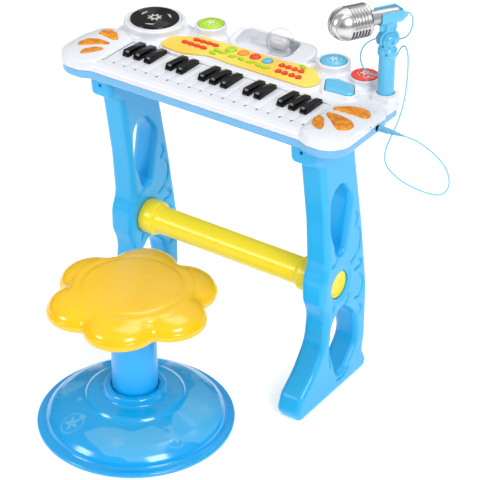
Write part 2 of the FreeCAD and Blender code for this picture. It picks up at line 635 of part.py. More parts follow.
def stool_seat():
    """Six-petalled flower with a round raised middle."""
    low = "seat_top - seat_thick"
    petals = []
    for n in range(PETALS):
        angle = 2 * math.pi * (n + 0.5) / PETALS
        reach = size("seat_radius") * 0.55
        petals.append(cylinder("petal_%d" % n, "seat_radius * 0.45", "seat_thick - 5",
                               size("stool_x") + reach * math.cos(angle),
                               "%.3f" % (size("stool_y") + reach * math.sin(angle)), low))
    petals.append(cylinder("seat_heart", "seat_radius * 0.7", "seat_thick", "stool_x", "stool_y", low))
    room = cylinder("seat_room", "seat_radius * 0.62", "seat_thick - 4", "stool_x", "stool_y", low)
    boss = cylinder("seat_boss", "stool_post_radius + 5", "seat_thick - 4", "stool_x", "stool_y", low)
    hollow = cut("seat_hollow", room, [boss])
    return node(cut("stool_seat", fuse("seat_whole", petals), [hollow]), "stool_seat")


stool_base()
stool_post()
stool_seat()

# --- inside -------------------------------------------------------------------------------

node(box("circuit_board", 150, 44, 1.6, -75, "96", "shell_bottom + skin + 4"), "circuit_board")
node(cut("speaker", cone("speaker_basket", 20, 16, 7, -110, "88", "shell_bottom + skin"),
         [cone("speaker_mouth", 17, 11, 4, -110, "88", "shell_bottom + skin")]), "speaker")

doc.recompute()
os.makedirs("parts", exist_ok=True)
for item in doc.Objects:
    if "Invalid" in item.State or "Error" in item.State:
        raise ValueError("%s did not compute: %s" % (item.Name, item.State))
for item in NODES:
    if item.Shape.isNull() or not item.Shape.isValid():
        raise ValueError("%s has no valid shape" % item.Label)
for item in NODES:
    item.Shape.exportStep("parts/%s.step" % item.Label)
print("%d nodes written" % len(NODES))
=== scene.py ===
import json
import math

import bmesh
import bpy
import numpy as np
import openvdb
from mathutils import Matrix, Vector

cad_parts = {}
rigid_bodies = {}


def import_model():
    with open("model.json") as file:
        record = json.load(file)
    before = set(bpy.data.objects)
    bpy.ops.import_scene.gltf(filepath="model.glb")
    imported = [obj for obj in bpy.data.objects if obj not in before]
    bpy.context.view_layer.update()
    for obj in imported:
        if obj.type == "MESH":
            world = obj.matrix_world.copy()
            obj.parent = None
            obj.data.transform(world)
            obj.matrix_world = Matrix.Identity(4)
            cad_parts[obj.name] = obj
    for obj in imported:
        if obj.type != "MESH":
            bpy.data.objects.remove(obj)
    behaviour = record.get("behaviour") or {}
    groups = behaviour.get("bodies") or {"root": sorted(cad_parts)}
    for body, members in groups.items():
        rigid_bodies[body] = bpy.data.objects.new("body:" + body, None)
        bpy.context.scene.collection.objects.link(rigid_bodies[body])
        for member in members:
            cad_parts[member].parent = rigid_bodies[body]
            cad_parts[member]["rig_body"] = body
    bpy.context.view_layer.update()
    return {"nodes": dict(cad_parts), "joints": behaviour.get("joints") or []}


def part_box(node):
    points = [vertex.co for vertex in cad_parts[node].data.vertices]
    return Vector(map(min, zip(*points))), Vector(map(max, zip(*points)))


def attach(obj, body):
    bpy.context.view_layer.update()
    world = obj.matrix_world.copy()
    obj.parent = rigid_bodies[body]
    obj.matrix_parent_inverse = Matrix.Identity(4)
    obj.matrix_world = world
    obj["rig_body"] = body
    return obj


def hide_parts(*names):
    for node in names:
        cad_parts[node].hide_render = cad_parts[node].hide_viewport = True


bl_info = {
    "name": "Toy Keyboard With Stool",
    "version": (1, 0, 0),
    "blender": (4, 5, 0),
    "location": "3D View > Sidebar > Toy Keyboard",
    "description": "Builds the moulded shells, keys, buttons, microphone, cord and stool of a toy keyboard",
    "category": "Add Mesh",
}

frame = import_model()

MM = 0.001
WHITE_KEYS = sorted(name for name in frame["nodes"] if name.startswith("white_key"))
BLACK_KEYS = sorted(name for name in frame["nodes"] if name.startswith("black_key"))


def node_box(name):
    """Lowest and highest corners of a CAD node, in millimetres."""
    low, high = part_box(name)
    return np.array(low) / MM, np.array(high) / MM


def middle(name):
    low, high = node_box(name)
    return (low + high) / 2


def standing(name):
    """Lowest and highest corners of a CAD node, and a placement on its upright axis."""
    low, high = node_box(name)
    return low, high, Matrix.Translation((*middle(name)[:2], 0))


def joint(name):
    """The frame's entry for one joint."""
    return [entry for entry in frame["joints"] if entry["name"] == name][0]


FRONT = node_box(WHITE_KEYS[0])[0][1]
KEY_TOP = node_box(WHITE_KEYS[0])[1][2]
SHELL_LOW = node_box("lower_housing")[0][2]
SEAM = node_box("lower_housing")[1][2]
DECK_TOP = node_box("control_panel")[0][2] - 2.0
TOWER_TOP = node_box("turntable_disc")[1][2] - 2.9
WALL = 2.4
# Upper end of the cuts that are open upwards, above every piece they are taken from.
ABOVE = 600.0
DISC_TOWER, DISC_GROOVE, SPINDLE_HOLE = 42.1, 35.6, 3.05
PAD_WELL, PAD_STEM_HOLE = 18.1, 4.3
POST_HOLE = 11.4
# Height of the microphone's axis over the cradle's tilt axis.
CLIP_RISE = 33.0
# Ends of the ribbed part of the microphone's head, counted from the cradle, and the ribs' spacing.
RIBS_FROM, RIBS_TO, RIB_PITCH = 35.5, 61.0, 4.3


def linear(red, green, blue):
    """Colour given in 0 to 255 display steps, as the linear numbers that shaders take."""
    parts = (red / 255, green / 255, blue / 255)
    return tuple(((c + 0.055) / 1.055) ** 2.4 if c > 10 / 255 else c / 12.92 for c in parts)


# --- sizes and colours that a user would change -------------------------------------------------


def length(name, description, default, low=0.0, high=50.0):
    return bpy.props.FloatProperty(name=name, description=description, default=default, min=low, max=high)


def colour(name, description, *display):
    return bpy.props.FloatVectorProperty(name=name, description=description, subtype="COLOR", size=3,
                                         min=0.0, max=1.0, default=linear(*display))


class ToySizes(bpy.types.PropertyGroup):
    deck_step: length("Deck mesh step", "Spacing of the deck's mesh, in millimetres", 1.0, 0.6, 4.0)
    leg_step: length("Leg mesh step", "Spacing of the legs' and seat's mesh, in millimetres", 1.35, 0.8, 5.0)
    fine_step: length("Fine mesh step", "Spacing of the panel's and buttons' mesh, in millimetres",
                      0.6, 0.3, 2.0)
    deck_edge: length("Deck edge", "Rounding of the deck's upper edge, in millimetres", 8.5, 1.0, 12.0)
    tower_blend: length("Tower fillet", "Fillet where a tower meets the deck, in millimetres", 9.0, 1.0, 20.0)
    lobe_crown: length("Lobe crown", "How far the lobes swell above the deck, in millimetres", 3.2, 0.0, 5.0)
    leg_edge: length("Leg edge", "Rounding along the legs' edges, in millimetres", 8.0, 2.0, 14.0)
    key_edge: length("Key edge", "Rounding of the keys' edges, in millimetres", 0.7, 0.2, 1.5)
    cord_width: length("Cord diameter", "Diameter of the microphone's cord, in millimetres", 2.0, 1.0, 4.0)


class ToyColours(bpy.types.PropertyGroup):
    deck: colour("Deck white", "Upper housing and white keys", 222, 225, 231)
    tray: colour("Tray blue", "Lower housing", 104, 176, 226)
    leg: colour("Leg blue", "Both legs", 24, 174, 234)
    bar: colour("Bar yellow", "Crossbar between the legs", 255, 222, 12)
    panel: colour("Panel yellow", "Control panel", 252, 216, 92)
    seat: colour("Seat yellow", "Flower seat", 255, 197, 0)
    stool: colour("Stool blue", "Foot and post of the stool", 0, 164, 238)
    post: colour("Post blue", "Microphone post and cradle", 84, 184, 226)
    cord: colour("Cord blue", "Cord and plug", 118, 196, 232)
    lens: colour("Lens orange", "Light lenses on the lobes", 246, 146, 0)
    red: colour("Button red", "Red buttons and pad", 228, 62, 44)
    green: colour("Button green", "Green buttons and pad", 172, 214, 22)
    orange: colour("Button orange", "Orange button", 252, 150, 48)
    blue: colour("Button blue", "Blue buttons and pad", 88, 184, 222)
    black: colour("Gloss black", "Black keys and record disc", 7, 7, 8)
    silver: colour("Silver", "Microphone grip", 178, 180, 184)


# --- shader maths -----------------------------------------------------------------------------


class Wire:
    """A shader socket that can be used in Python arithmetic."""

    def __init__(self, graph, socket):
        self.graph = graph
        self.socket = socket

    def math(self, operation, *values):
        sockets = {index: value for index, value in enumerate((self,) + values)}
        return self.graph.node("ShaderNodeMath", {"operation": operation}, sockets)

    def flipped(self, operation, value):
        return self.graph.node("ShaderNodeMath", {"operation": operation}, {0: value, 1: self})

    def __add__(self, other):
        return self.math("ADD", other)

    __radd__ = __add__

    def __sub__(self, other):
        return self.math("SUBTRACT", other)

    def __rsub__(self, other):
        return self.flipped("SUBTRACT", other)

    def __mul__(self, other):
        return self.math("MULTIPLY", other)

    __rmul__ = __mul__

    def __truediv__(self, other):
        return self.math("DIVIDE", other)

    def __rtruediv__(self, other):
        return self.flipped("DIVIDE", other)

    def __pow__(self, other):
        return self.math("POWER", other)

    def smooth(self, low, high):
        """0 below low, 1 above high, eased between."""
        return self.graph.node("ShaderNodeMapRange", {"interpolation_type": "SMOOTHSTEP"},
                                {"Value": self, "From Min": low, "From Max": high})

    def largest(self, other):
        return self.math("MAXIMUM", other)


class Graph:
    """A node tree that hands out wires."""

    def __init__(self, tree):
        self.tree = tree

    def node(self, kind, settings, sockets, output=0):
        """One node: its settings first, then the values or links of its sockets."""
        node = self.tree.nodes.new(kind)
        for key, value in settings.items():
            setattr(node, key, value)
        for key, value in sockets.items():
            if isinstance(value, Wire):
                self.tree.links.new(value.socket, node.inputs[key])
            else:
                node.inputs[key].default_value = value
        return Wire(self, node.outputs[output])


class Finish(Graph):
    """A material built around one Principled shader."""

    def __init__(self, name, **constants):
        self.material = bpy.data.materials.new(name)
        self.material.use_nodes = True
        super().__init__(self.material.node_tree)
        self.shader = self.tree.nodes["Principled BSDF"]
        for socket, value in constants.items():
            self.shader.inputs[socket.replace("_", " ")].default_value = value
        self.place = self.node("ShaderNodeTexCoord", {}, {}, "Object")

    def feed(self, socket, wire):
        self.tree.links.new(wire.socket, self.shader.inputs[socket])

    def noise(self, scale, detail=3.0, roughness=0.5):
        return self.node("ShaderNodeTexNoise", {}, {"Vector": self.place, "Scale": scale, "Detail": detail,
                                                    "Roughness": roughness})

    def cells(self, scale, feature="F1"):
        return self.node("ShaderNodeTexVoronoi", {"feature": feature}, {"Vector": self.place, "Scale": scale})

    def axis(self, letter, origin=0.0):
        """Distance along one axis of the row frame, from an origin, in metres."""
        part = self.node("ShaderNodeSeparateXYZ", {}, {"Vector": self.place}, "XYZ".index(letter))
        return part - origin

    def along(self, direction, origin):
        """Distance in millimetres along a direction from an origin given in millimetres."""
        reach = self.node("ShaderNodeVectorMath", {"operation": "DOT_PRODUCT"},
                          {0: self.place, 1: tuple(direction)}, "Value")
        return reach * 1000.0 - Vector(direction).dot(origin)

    def polar(self, centre):
        """Distance from an upright axis, in millimetres, and the angle round it."""
        across = self.axis("X", centre[0] * MM) * 1000.0
        along = self.axis("Y", centre[1] * MM) * 1000.0
        return (across ** 2.0 + along ** 2.0) ** 0.5, along.math("ARCTAN2", across)

    def tint(self, low, high, factor):
        """Blend of two colours or colour wires."""
        opaque = [value if isinstance(value, Wire) else (*value, 1.0) for value in (low, high)]
        return self.node("ShaderNodeMix", {"data_type": "RGBA"}, {0: factor, 6: opaque[0], 7: opaque[1]}, 2)

    def bump(self, height, strength, distance=0.001):
        self.feed("Normal", self.node("ShaderNodeBump", {}, {"Strength": strength, "Distance": distance,
                                                              "Height": height}))


def shade(tone, factor):
    return tuple(min(1.0, part * factor) for part in tone)


def moulded(name, tone, roughness=0.3, grain=0.05, coat=0.25, cloud=0.05, subsurface=0.0):
    """Injection-moulded plastic: faint flow clouds, uneven gloss and a fine skin texture."""
    finish = Finish(name, Coat_Roughness=0.12, IOR=1.49)
    finish.shader.inputs["Coat Weight"].default_value = coat
    if subsurface:
        finish.shader.inputs["Subsurface Weight"].default_value = subsurface
        finish.shader.inputs["Subsurface Radius"].default_value = (0.004, 0.004, 0.004)
        finish.shader.inputs["Subsurface Scale"].default_value = 1.0
    flow = finish.noise(14.0, 4.0, 0.55)
    finish.feed("Base Color", finish.tint(shade(tone, 1 - cloud), shade(tone, 1 + cloud), flow))
    wear = finish.noise(75.0, 5.0, 0.65)
    finish.feed("Roughness", roughness - 0.06 + wear * 0.12)
    finish.bump(finish.noise(2600.0, 2.0) + finish.noise(160.0, 2.0) * 0.6, grain, 0.0004)
    return finish


def speckled(name, low, high, scale, **constants):
    """A plain finish whose colour wanders between two tones."""
    finish = Finish(name, **constants)
    finish.feed("Base Color", finish.tint(low, high, finish.noise(scale)))
    return finish


# --- meshes from distance fields --------------------------------------------------------------


def axes(low, high, step):
    """Sample positions along X, Y and Z as arrays that broadcast together."""
    lines = [np.arange(a, b + step, step) for a, b in zip(low, high)]
    return np.meshgrid(*lines, indexing="ij", sparse=True)


def join(first, second, blend=0.0):
    """Union of two fields, with a fillet of about the blend's size."""
    if blend <= 0:
        return np.minimum(first, second)
    share = np.maximum(blend - np.abs(first - second), 0) / blend
    return np.minimum(first, second) - share * share * blend / 4


def carve(body, tool, blend=0.0):
    """Field of the body with the tool taken away."""
    return -join(-body, tool, blend)


def clip(body, tool, blend=0.0):
    """Field of what body and tool share."""
    return -join(-body, -tool, blend)


def arc_points(corners, steps=6):
    """Points of a closed outline of (u, v, radius) corners, each rounded by a tangent arc."""
    points = []
    count = len(corners)
    for index, (u, v, radius) in enumerate(corners):
        here = np.array((u, v), float)
        before = np.array(corners[index - 1][:2], float) - here
        after = np.array(corners[(index + 1) % count][:2], float) - here
        before /= np.linalg.norm(before)
        after /= np.linalg.norm(after)
        half = math.acos(np.clip(before @ after, -1, 1)) / 2
        aim = (before + after) / np.linalg.norm(before + after)
        centre = here + aim * radius / math.sin(half)
        start = here + before * radius / math.tan(half) - centre
        end = here + after * radius / math.tan(half) - centre
        for step in range(steps + 1):
            mix = start * (1 - step / steps) + end * (step / steps)
            points.append(centre + mix / np.linalg.norm(mix) * radius)
    return np.array(points)


def outline(corners, u, v):
    """Signed distance to a rounded outline, for sample arrays u and v."""
    points = arc_points(corners)
    flat_u, flat_v = np.broadcast_arrays(u, v)
    nearest = np.full(flat_u.shape, 1e9)
    inside = np.zeros(flat_u.shape, bool)
    for (au, av), (bu, bv) in zip(points, np.roll(points, -1, axis=0)):
        eu, ev = bu - au, bv - av
        span = eu * eu + ev * ev
        if span < 1e-12:
            continue
        du, dv = flat_u - au, flat_v - av
        share = np.clip((du * eu + dv * ev) / span, 0, 1)
        nearest = np.minimum(nearest, (du - share * eu) ** 2 + (dv - share * ev) ** 2)
        crosses = (av > flat_v) != (bv > flat_v)
        if abs(ev) > 1e-12:
            inside ^= crosses & (flat_u < au + (flat_v - av) * eu / ev)
    return np.where(inside, -1.0, 1.0) * np.sqrt(nearest)


def prism(flat, w, low, high, edge=0.0):
    """A flat distance field thickened between two heights, its edges rounded."""
    side = flat + edge
    end = np.abs(w - (low + high) / 2) - (high - low) / 2 + edge
    outside = np.sqrt(np.maximum(side, 0) ** 2 + np.maximum(end, 0) ** 2)
    return outside + np.minimum(np.maximum(side, end), 0) - edge


def circle(u, v, centre_u, centre_v, radius):
    return np.sqrt((u - centre_u) ** 2 + (v - centre_v) ** 2) - radius


def ellipsoid(x, y, z, centre, radii):
    scaled = np.sqrt(((x - centre[0]) / radii[0]) ** 2 + ((y - centre[1]) / radii[1]) ** 2
                     + ((z - centre[2]) / radii[2]) ** 2)
    return (scaled - 1) * min(radii)


def column(x, y, z, centre, radius, low, high, edge=0.0):
    """Upright round column."""
    return prism(circle(x, y, centre[0], centre[1], radius), z, low, high, edge)


def brick(x, y, z, low, high, edge=0.0):
    """Distance to a box with rounded edges."""
    gaps = [np.abs(axis - (a + b) / 2) - (b - a) / 2 + edge for axis, a, b in zip((x, y, z), low, high)]
    outside = np.sqrt(sum(np.maximum(gap, 0) ** 2 for gap in gaps))
    return outside + np.minimum(np.maximum(np.maximum(gaps[0], gaps[1]), gaps[2]), 0) - edge


def link(name, mesh, finish, smooth=True):
    """Object of a mesh with its material, linked to the scene."""
    if smooth:
        mesh.polygons.foreach_set("use_smooth", [True] * len(mesh.polygons))
    mesh.materials.append(finish.material)
    thing = bpy.data.objects.new(name, mesh)
    bpy.context.scene.collection.objects.link(thing)
    return thing


def drawn(name, shape, finish, smooth=True):
    """Object of an edited mesh, which is freed."""
    data = bpy.data.meshes.new(name)
    shape.to_mesh(data)
    shape.free()
    return link(name, data, finish, smooth)


def skin(name, field, low, step, finish, turn=None):
    """Mesh of the zero surface of a sampled field."""
    grid = openvdb.FloatGrid(background=3 * step)
    grid.copyFromArray(np.clip(field, -3 * step, 3 * step).astype(np.float32))
    points, quads = grid.convertToQuads(0.0)
    points = points * step + np.array(low)
    if turn is not None:
        points = points @ np.array(turn.to_3x3()).T + np.array(turn.translation)
    mesh = bpy.data.meshes.new(name)
    mesh.vertices.add(len(points))
    mesh.vertices.foreach_set("co", (points * MM).ravel())
    mesh.loops.add(len(quads) * 4)
    mesh.loops.foreach_set("vertex_index", quads[:, ::-1].ravel())
    mesh.polygons.add(len(quads))
    mesh.polygons.foreach_set("loop_start", np.arange(len(quads)) * 4)
    mesh.update(calc_edges=True)
    mesh.validate()
    return link(name, mesh, finish)


def softened_profile(points, radius, steps=4):
    """Profile points with each inner corner rounded by a short curve."""
    rounded = [points[0]]
    for before, here, after in zip(points, points[1:], points[2:]):
        here, before, after = (np.array(p, float) for p in (here, before, after))
        back, ahead = before - here, after - here
        reach = min(radius, np.linalg.norm(back) * 0.45, np.linalg.norm(ahead) * 0.45)
        start = here + back / np.linalg.norm(back) * reach
        end = here + ahead / np.linalg.norm(ahead) * reach
        for step in range(steps + 1):
            t = step / steps
            rounded.append(tuple(start * (1 - t) ** 2 + here * 2 * t * (1 - t) + end * t * t))
    rounded.append(points[-1])
    return rounded


def lathe(name, profile, place, finish, segments=96, radius=0.6):
    """Solid of revolution of (radius, height) points about the Z axis of place, in millimetres."""
    points = softened_profile(profile, radius)
    mesh = bmesh.new()
    rings = []
    for r, z in points:
        if r < 1e-6:
            rings.append([mesh.verts.new(place @ Vector((0, 0, z)) * MM)])
            continue
        ring = []
        for n in range(segments):
            angle = 2 * math.pi * n / segments
            ring.append(mesh.verts.new(place @ Vector((r * math.cos(angle), r * math.sin(angle), z)) * MM))
        rings.append(ring)
    for lower, upper in zip(rings, rings[1:]):
        if len(lower) == 1 and len(upper) == 1:
            continue
        for n in range(segments):
            m = (n + 1) % segments
            if len(lower) == 1:
                mesh.faces.new((lower[0], upper[m], upper[n]))
            elif len(upper) == 1:
                mesh.faces.new((lower[n], lower[m], upper[0]))
            else:
                mesh.faces.new((lower[n], lower[m], upper[m], upper[n]))
    bmesh.ops.recalc_face_normals(mesh, faces=mesh.faces)
    return drawn(name, mesh, finish)


def softened(node, width, finish):
    """A copy of a CAD node's mesh with rounded edges, which stands for the node."""
    mesh = frame["nodes"][node].data.copy()
    mesh.materials.clear()
    work = bmesh.new()
    work.from_mesh(mesh)
    bmesh.ops.remove_doubles(work, verts=work.verts, dist=1e-6)
    bmesh.ops.dissolve_limit(work, angle_limit=math.radians(1), verts=work.verts, edges=work.edges)
    work.to_mesh(mesh)
    work.free()
    thing = link("soft_" + node, mesh, finish)
    bevel = thing.modifiers.new("edges", "BEVEL")
    bevel.width = width * MM
    bevel.segments = 3
    bevel.limit_method = "ANGLE"
    bpy.context.view_layer.update()
    settled = bpy.data.meshes.new_from_object(thing.evaluated_get(bpy.context.evaluated_depsgraph_get()))
    thing.modifiers.clear()
    thing.data = settled
    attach(thing, frame["nodes"][node]["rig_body"])
    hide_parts(node)
    return thing


def settle(thing, body, slot, *nodes):
    """Ride on a body and stand for CAD nodes. The slot is not used."""
    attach(thing, body)
    if nodes:
        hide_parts(*nodes)
    return thing


# --- outlines, in millimetres, Y counted from the front of the white keys ----------------------

DECK = [(-165, -22, 24), (-178, -28, 14), (-224, -28, 32), (-224, 36, 30), (-204, 62, 30),
        (-200, 150, 30), (184, 150, 8), (189, 125, 6), (220.5, 125, 6), (220.5, 94, 8), (224, 86, 8),
        (224, -28, 32), (178, -28, 14), (165, -22, 24)]
PANEL = [(-118, 66, 11), (-78, 64, 14), (-44, 78, 20), (-8, 75, 30), (112, 75, 14), (121, 98, 18),
         (92, 124.5, 12), (66, 124.5, 18), (48, 120, 30), (-44, 120, 30), (-80, 118.8, 10), (-118, 96, 20)]
VOICE_BUTTON = [(134, 83, 4), (176, 86, 7), (160, 112, 6), (131, 118, 7), (118.5, 111, 4)]
BAY = [(-42, 129, 12), (46, 129, 12), (46, 167.4, 12), (-42, 167.4, 12)]
HUMP = [(-56, 126, 16), (84, 126, 22), (70, 171.5, 18), (-48, 171.5, 18)]
LOBE = [(163, -20, 14), (182, -28, 18), (224, -28, 32), (224, 40, 30), (214, 76, 20), (180, 80, 16),
        (164, 60, 14)]
SHELF = [(124, 118, 8), (150, 106, 10), (178, 112, 14), (182, 146, 10), (128, 146, 10)]
SLICES = [
    [(-190.5, -11.5, 4), (-194, 0, 8), (-185.5, 13.5, 10), (-172, 21, 2.5), (-172, 12, 8), (-179.5, -6, 10),
     (-185, -12.5, 3)],
    [(-205.5, 2, 5), (-211.5, 14, 7), (-207.6, 29.2, 9), (-193, 37, 12), (-174, 35.5, 3), (-174.2, 30, 3),
     (-188.5, 18, 14)],
    [(-206, 47.5, 5), (-207.5, 59, 6), (-199.5, 68, 7), (-184.4, 64.8, 10), (-172, 49.5, 3),
     (-177.9, 43.3, 3), (-195, 45.6, 14)],
    [(163, 26.3, 2.5), (172.8, 21.6, 3), (184.4, 5, 6), (189, -8.2, 3), (180.4, -8, 4), (167.6, 1.4, 8),
     (161.8, 13.7, 6)],
    [(165, 38, 3), (188, 38.8, 14), (206, 34.5, 12), (215.5, 25, 8), (215.5, 12, 7), (206, 2, 5),
     (195, 8, 14), (174.3, 26.7, 14)],
    [(166, 50, 3), (171, 56, 3), (185, 66.5, 14), (199, 71.5, 14), (212, 68, 8), (218, 60, 6),
     (217.5, 50, 5), (206, 47, 14), (192, 45.4, 14), (174, 46.8, 8)],
]
LEG = [(-24, 0, 6), (-33, 14, 10), (-24, 36, 18), (4, 58, 40), (30, 92, 50), (35, 132, 50), (24, 158, 30),
       (24, 190, 30), (34, 212, 40), (29, 280, 80), (15, 372, 8), (-8, 386, 9), (-10, 414, 1),
       (90, 414, 1), (96, 360, 40), (118, 250, 60), (136, 140, 60), (136, 60, 30), (132, 32, 8),
       (142, 12, 6), (136, 0, 4)]
LEG_GAPS = [[(62, 334, 16), (40, 318, 18), (40, 270, 60), (58, 222, 8), (72, 222, 8), (88, 300, 24)],
            [(72, 137, 13), (48, 116, 26), (47, 74, 40), (64, 26, 9), (84, 28, 12), (114, 60, 26),
             (106, 106, 30)]]
LEG_ARCS = [
    [(105, 243), (112, 232), (112, 216), (105, 204), (90, 196)], [(98, 270), (104, 261), (97, 250)],
    [(50, 229), (57, 221), (53, 213), (43, 211)], [(110, 192), (118, 185), (114, 179), (101, 179)],
    [(112, 166), (121, 157), (122, 143), (115, 130), (104, 132)], [(115, 116), (122, 108), (114, 101)],
    [(85, 149), (87, 142), (78, 137)], [(51, 147), (48, 140)], [(43, 92), (41, 72), (45, 52)],
    [(64, 18), (80, 17), (92, 24)],
]
MODE_BUTTONS = [(-28, 106.5, "green"), (-9, 107.5, "orange"), (10, 107.5, "red"), (30, 106.5, "blue")]
PILLS = [(-82, 104), (-72, 104.5), (-62, 105), (-52, 105), (-91, 90), (-81, 90), (-71, 90), (-61, 90)]
BELLS = [(53, 107), (63, 107), (73, 107), (83, 107), (58, 91), (68, 91), (79, 91), (89, 91)]
LEAVES = [(-42, 94), (-31, 93), (-43, 84.5), (-15, 91), (-1, 91), (14, 91), (27, 90), (39, 89), (78, 118)]
PADS = ["green", "blue", "red"]
TRAY_SCREWS = [(-205, 0), (-100, -14), (100, -14), (205, 0), (-190, 120), (0, 128), (205, 138)]


def moved(corners):
    """An outline with its Y in the row frame."""
    return [(u, v + FRONT, radius) for u, v, radius in corners]


def upright(corners):
    """A side outline of (Y, Z, radius) corners in the row frame."""
    return [(y + FRONT, z, radius) for y, z, radius in corners]


def towers():
    """Centre, top radius and foot flare of each round tower."""
    found = [(*middle("turntable_disc")[:2], DISC_TOWER, 3.0)]
    for name, rim in zip(PADS, (4.2, 5.2, 2.4)):
        centre = middle("drum_pad_" + name)
        found.append((centre[0], centre[1], 17.7 + rim, rim * 0.35))
    return found


class Piece:
    """Common parts of the operators that build one piece or group."""

    bl_options = {"REGISTER", "UNDO"}

    def execute(self, context):
        scene = context.scene
        self.build(scene.toy_sizes, scene.toy_colours)
        return {"FINISHED"}


class TOY_OT_camera(Piece, bpy.types.Operator):
    """Camera in front of the keyboard, to the player's right and above"""

    bl_idname = "toy.camera"
    bl_label = "Camera"

    def build(self, sizes, colours):
        data = bpy.data.cameras.new("view_camera")
        data.lens = 152.0
        data.sensor_width = 36.0
        camera = bpy.data.objects.new("view_camera", data)
        camera.location = (1.3564, -1.8632 + FRONT * MM, 1.6431)
        camera.rotation_euler = (math.radians(90 - 31.82), 0, math.radians(34.82))
        bpy.context.scene.collection.objects.link(camera)
        bpy.context.scene.camera = camera


# The cord's route, X, Y from the key front and Z, from the microphone's tail to the plug.
CORD_ROUTE = [
    (214.2, 124.5, 558.0), (219.5, 133.5, 558.5), (227.5, 137.5, 551.5), (229.5, 133.0, 538.0),
    (224.5, 130.5, 525.0), (211.0, 132.5, 516.5), (195.0, 132.5, 516.0), (178.0, 129.0, 510.5),
    (164.0, 127.0, 499.0), (158.5, 126.0, 483.0), (162.0, 126.5, 466.5), (175.0, 128.0, 457.5),
    (191.0, 130.0, 463.0), (203.0, 131.0, 480.0), (211.0, 129.5, 496.0), (217.5, 126.5, 509.0),
    (224.5, 123.0, 516.5), (231.5, 119.0, 514.0), (235.0, 116.8, 502.0), (235.0, 116.8, 480.0),
    (233.0, 117.5, 450.0), (231.0, 109.5, 422.5), (230.0, 93.0, 404.0), (230.0, 77.0, 390.0),
    (236.0, 67.0, 375.5), (255.0, 63.0, 365.0), (278.0, 62.0, 359.0), (302.0, 61.5, 357.5),
    (324.0, 62.0, 361.0), (333.5, 63.0, 379.0), (327.0, 64.0, 400.0), (307.0, 65.5, 414.5),
    (284.0, 67.0, 422.5), (270.0, 68.0, 423.5), (262.0, 68.0, 423.5),
]


class TOY_OT_cord(Piece, bpy.types.Operator):
    """Microphone cord and its jack plug"""

    bl_idname = "toy.cord"
    bl_label = "Cord and plug"

    def build(self, sizes, colours):
        vinyl = moulded("cord_vinyl", colours.cord, 0.42, 0.03, 0.0, 0.04)
        curve = bpy.data.curves.new("mic_cord_line", "CURVE")
        curve.dimensions = "3D"
        curve.bevel_depth = sizes.cord_width / 2 * MM
        curve.bevel_resolution = 5
        curve.use_fill_caps = True
        spline = curve.splines.new("NURBS")
        spline.points.add(len(CORD_ROUTE) - 1)
        for point, (x, y, z) in zip(spline.points, CORD_ROUTE):
            point.co = (x * MM, (y + FRONT) * MM, z * MM, 1.0)
        spline.order_u = 3
        spline.use_endpoint_u = True
        spline.resolution_u = 12
        curve.materials.append(vinyl.material)
        cord = bpy.data.objects.new("microphone_cord", curve)
        bpy.context.scene.collection.objects.link(cord)
        settle(cord, "root", "cord_blue", "mic_cord")
        low, high = node_box("mic_plug")
        place = Matrix.Translation((low[0] + 14, (low[1] + high[1]) / 2, (low[2] + high[2]) / 2))
        place = place @ Matrix.Rotation(math.radians(90), 4, "Y")
        profile = [(0, 0.05), (4.1, 0.05), (4.1, 13), (3.6, 15)]
        for ridge in range(6):
            start = 16.5 + ridge * 2.9
            radius = 3.4 - ridge * 0.3
            profile += [(radius - 0.9, start - 0.6), (radius, start), (radius, start + 1.3),
                        (radius - 0.9, start + 1.8)]
        profile += [(1.5, 35.0), (1.3, 35.9), (0, 35.9)]
        dark_vinyl = moulded("plug_vinyl", shade(colours.cord, 0.8), 0.4, 0.06, 0.0)
        plug = lathe("jack_plug", profile, place, dark_vinyl, 48, 0.3)
        settle(plug, "root", "plug_blue", "mic_plug")


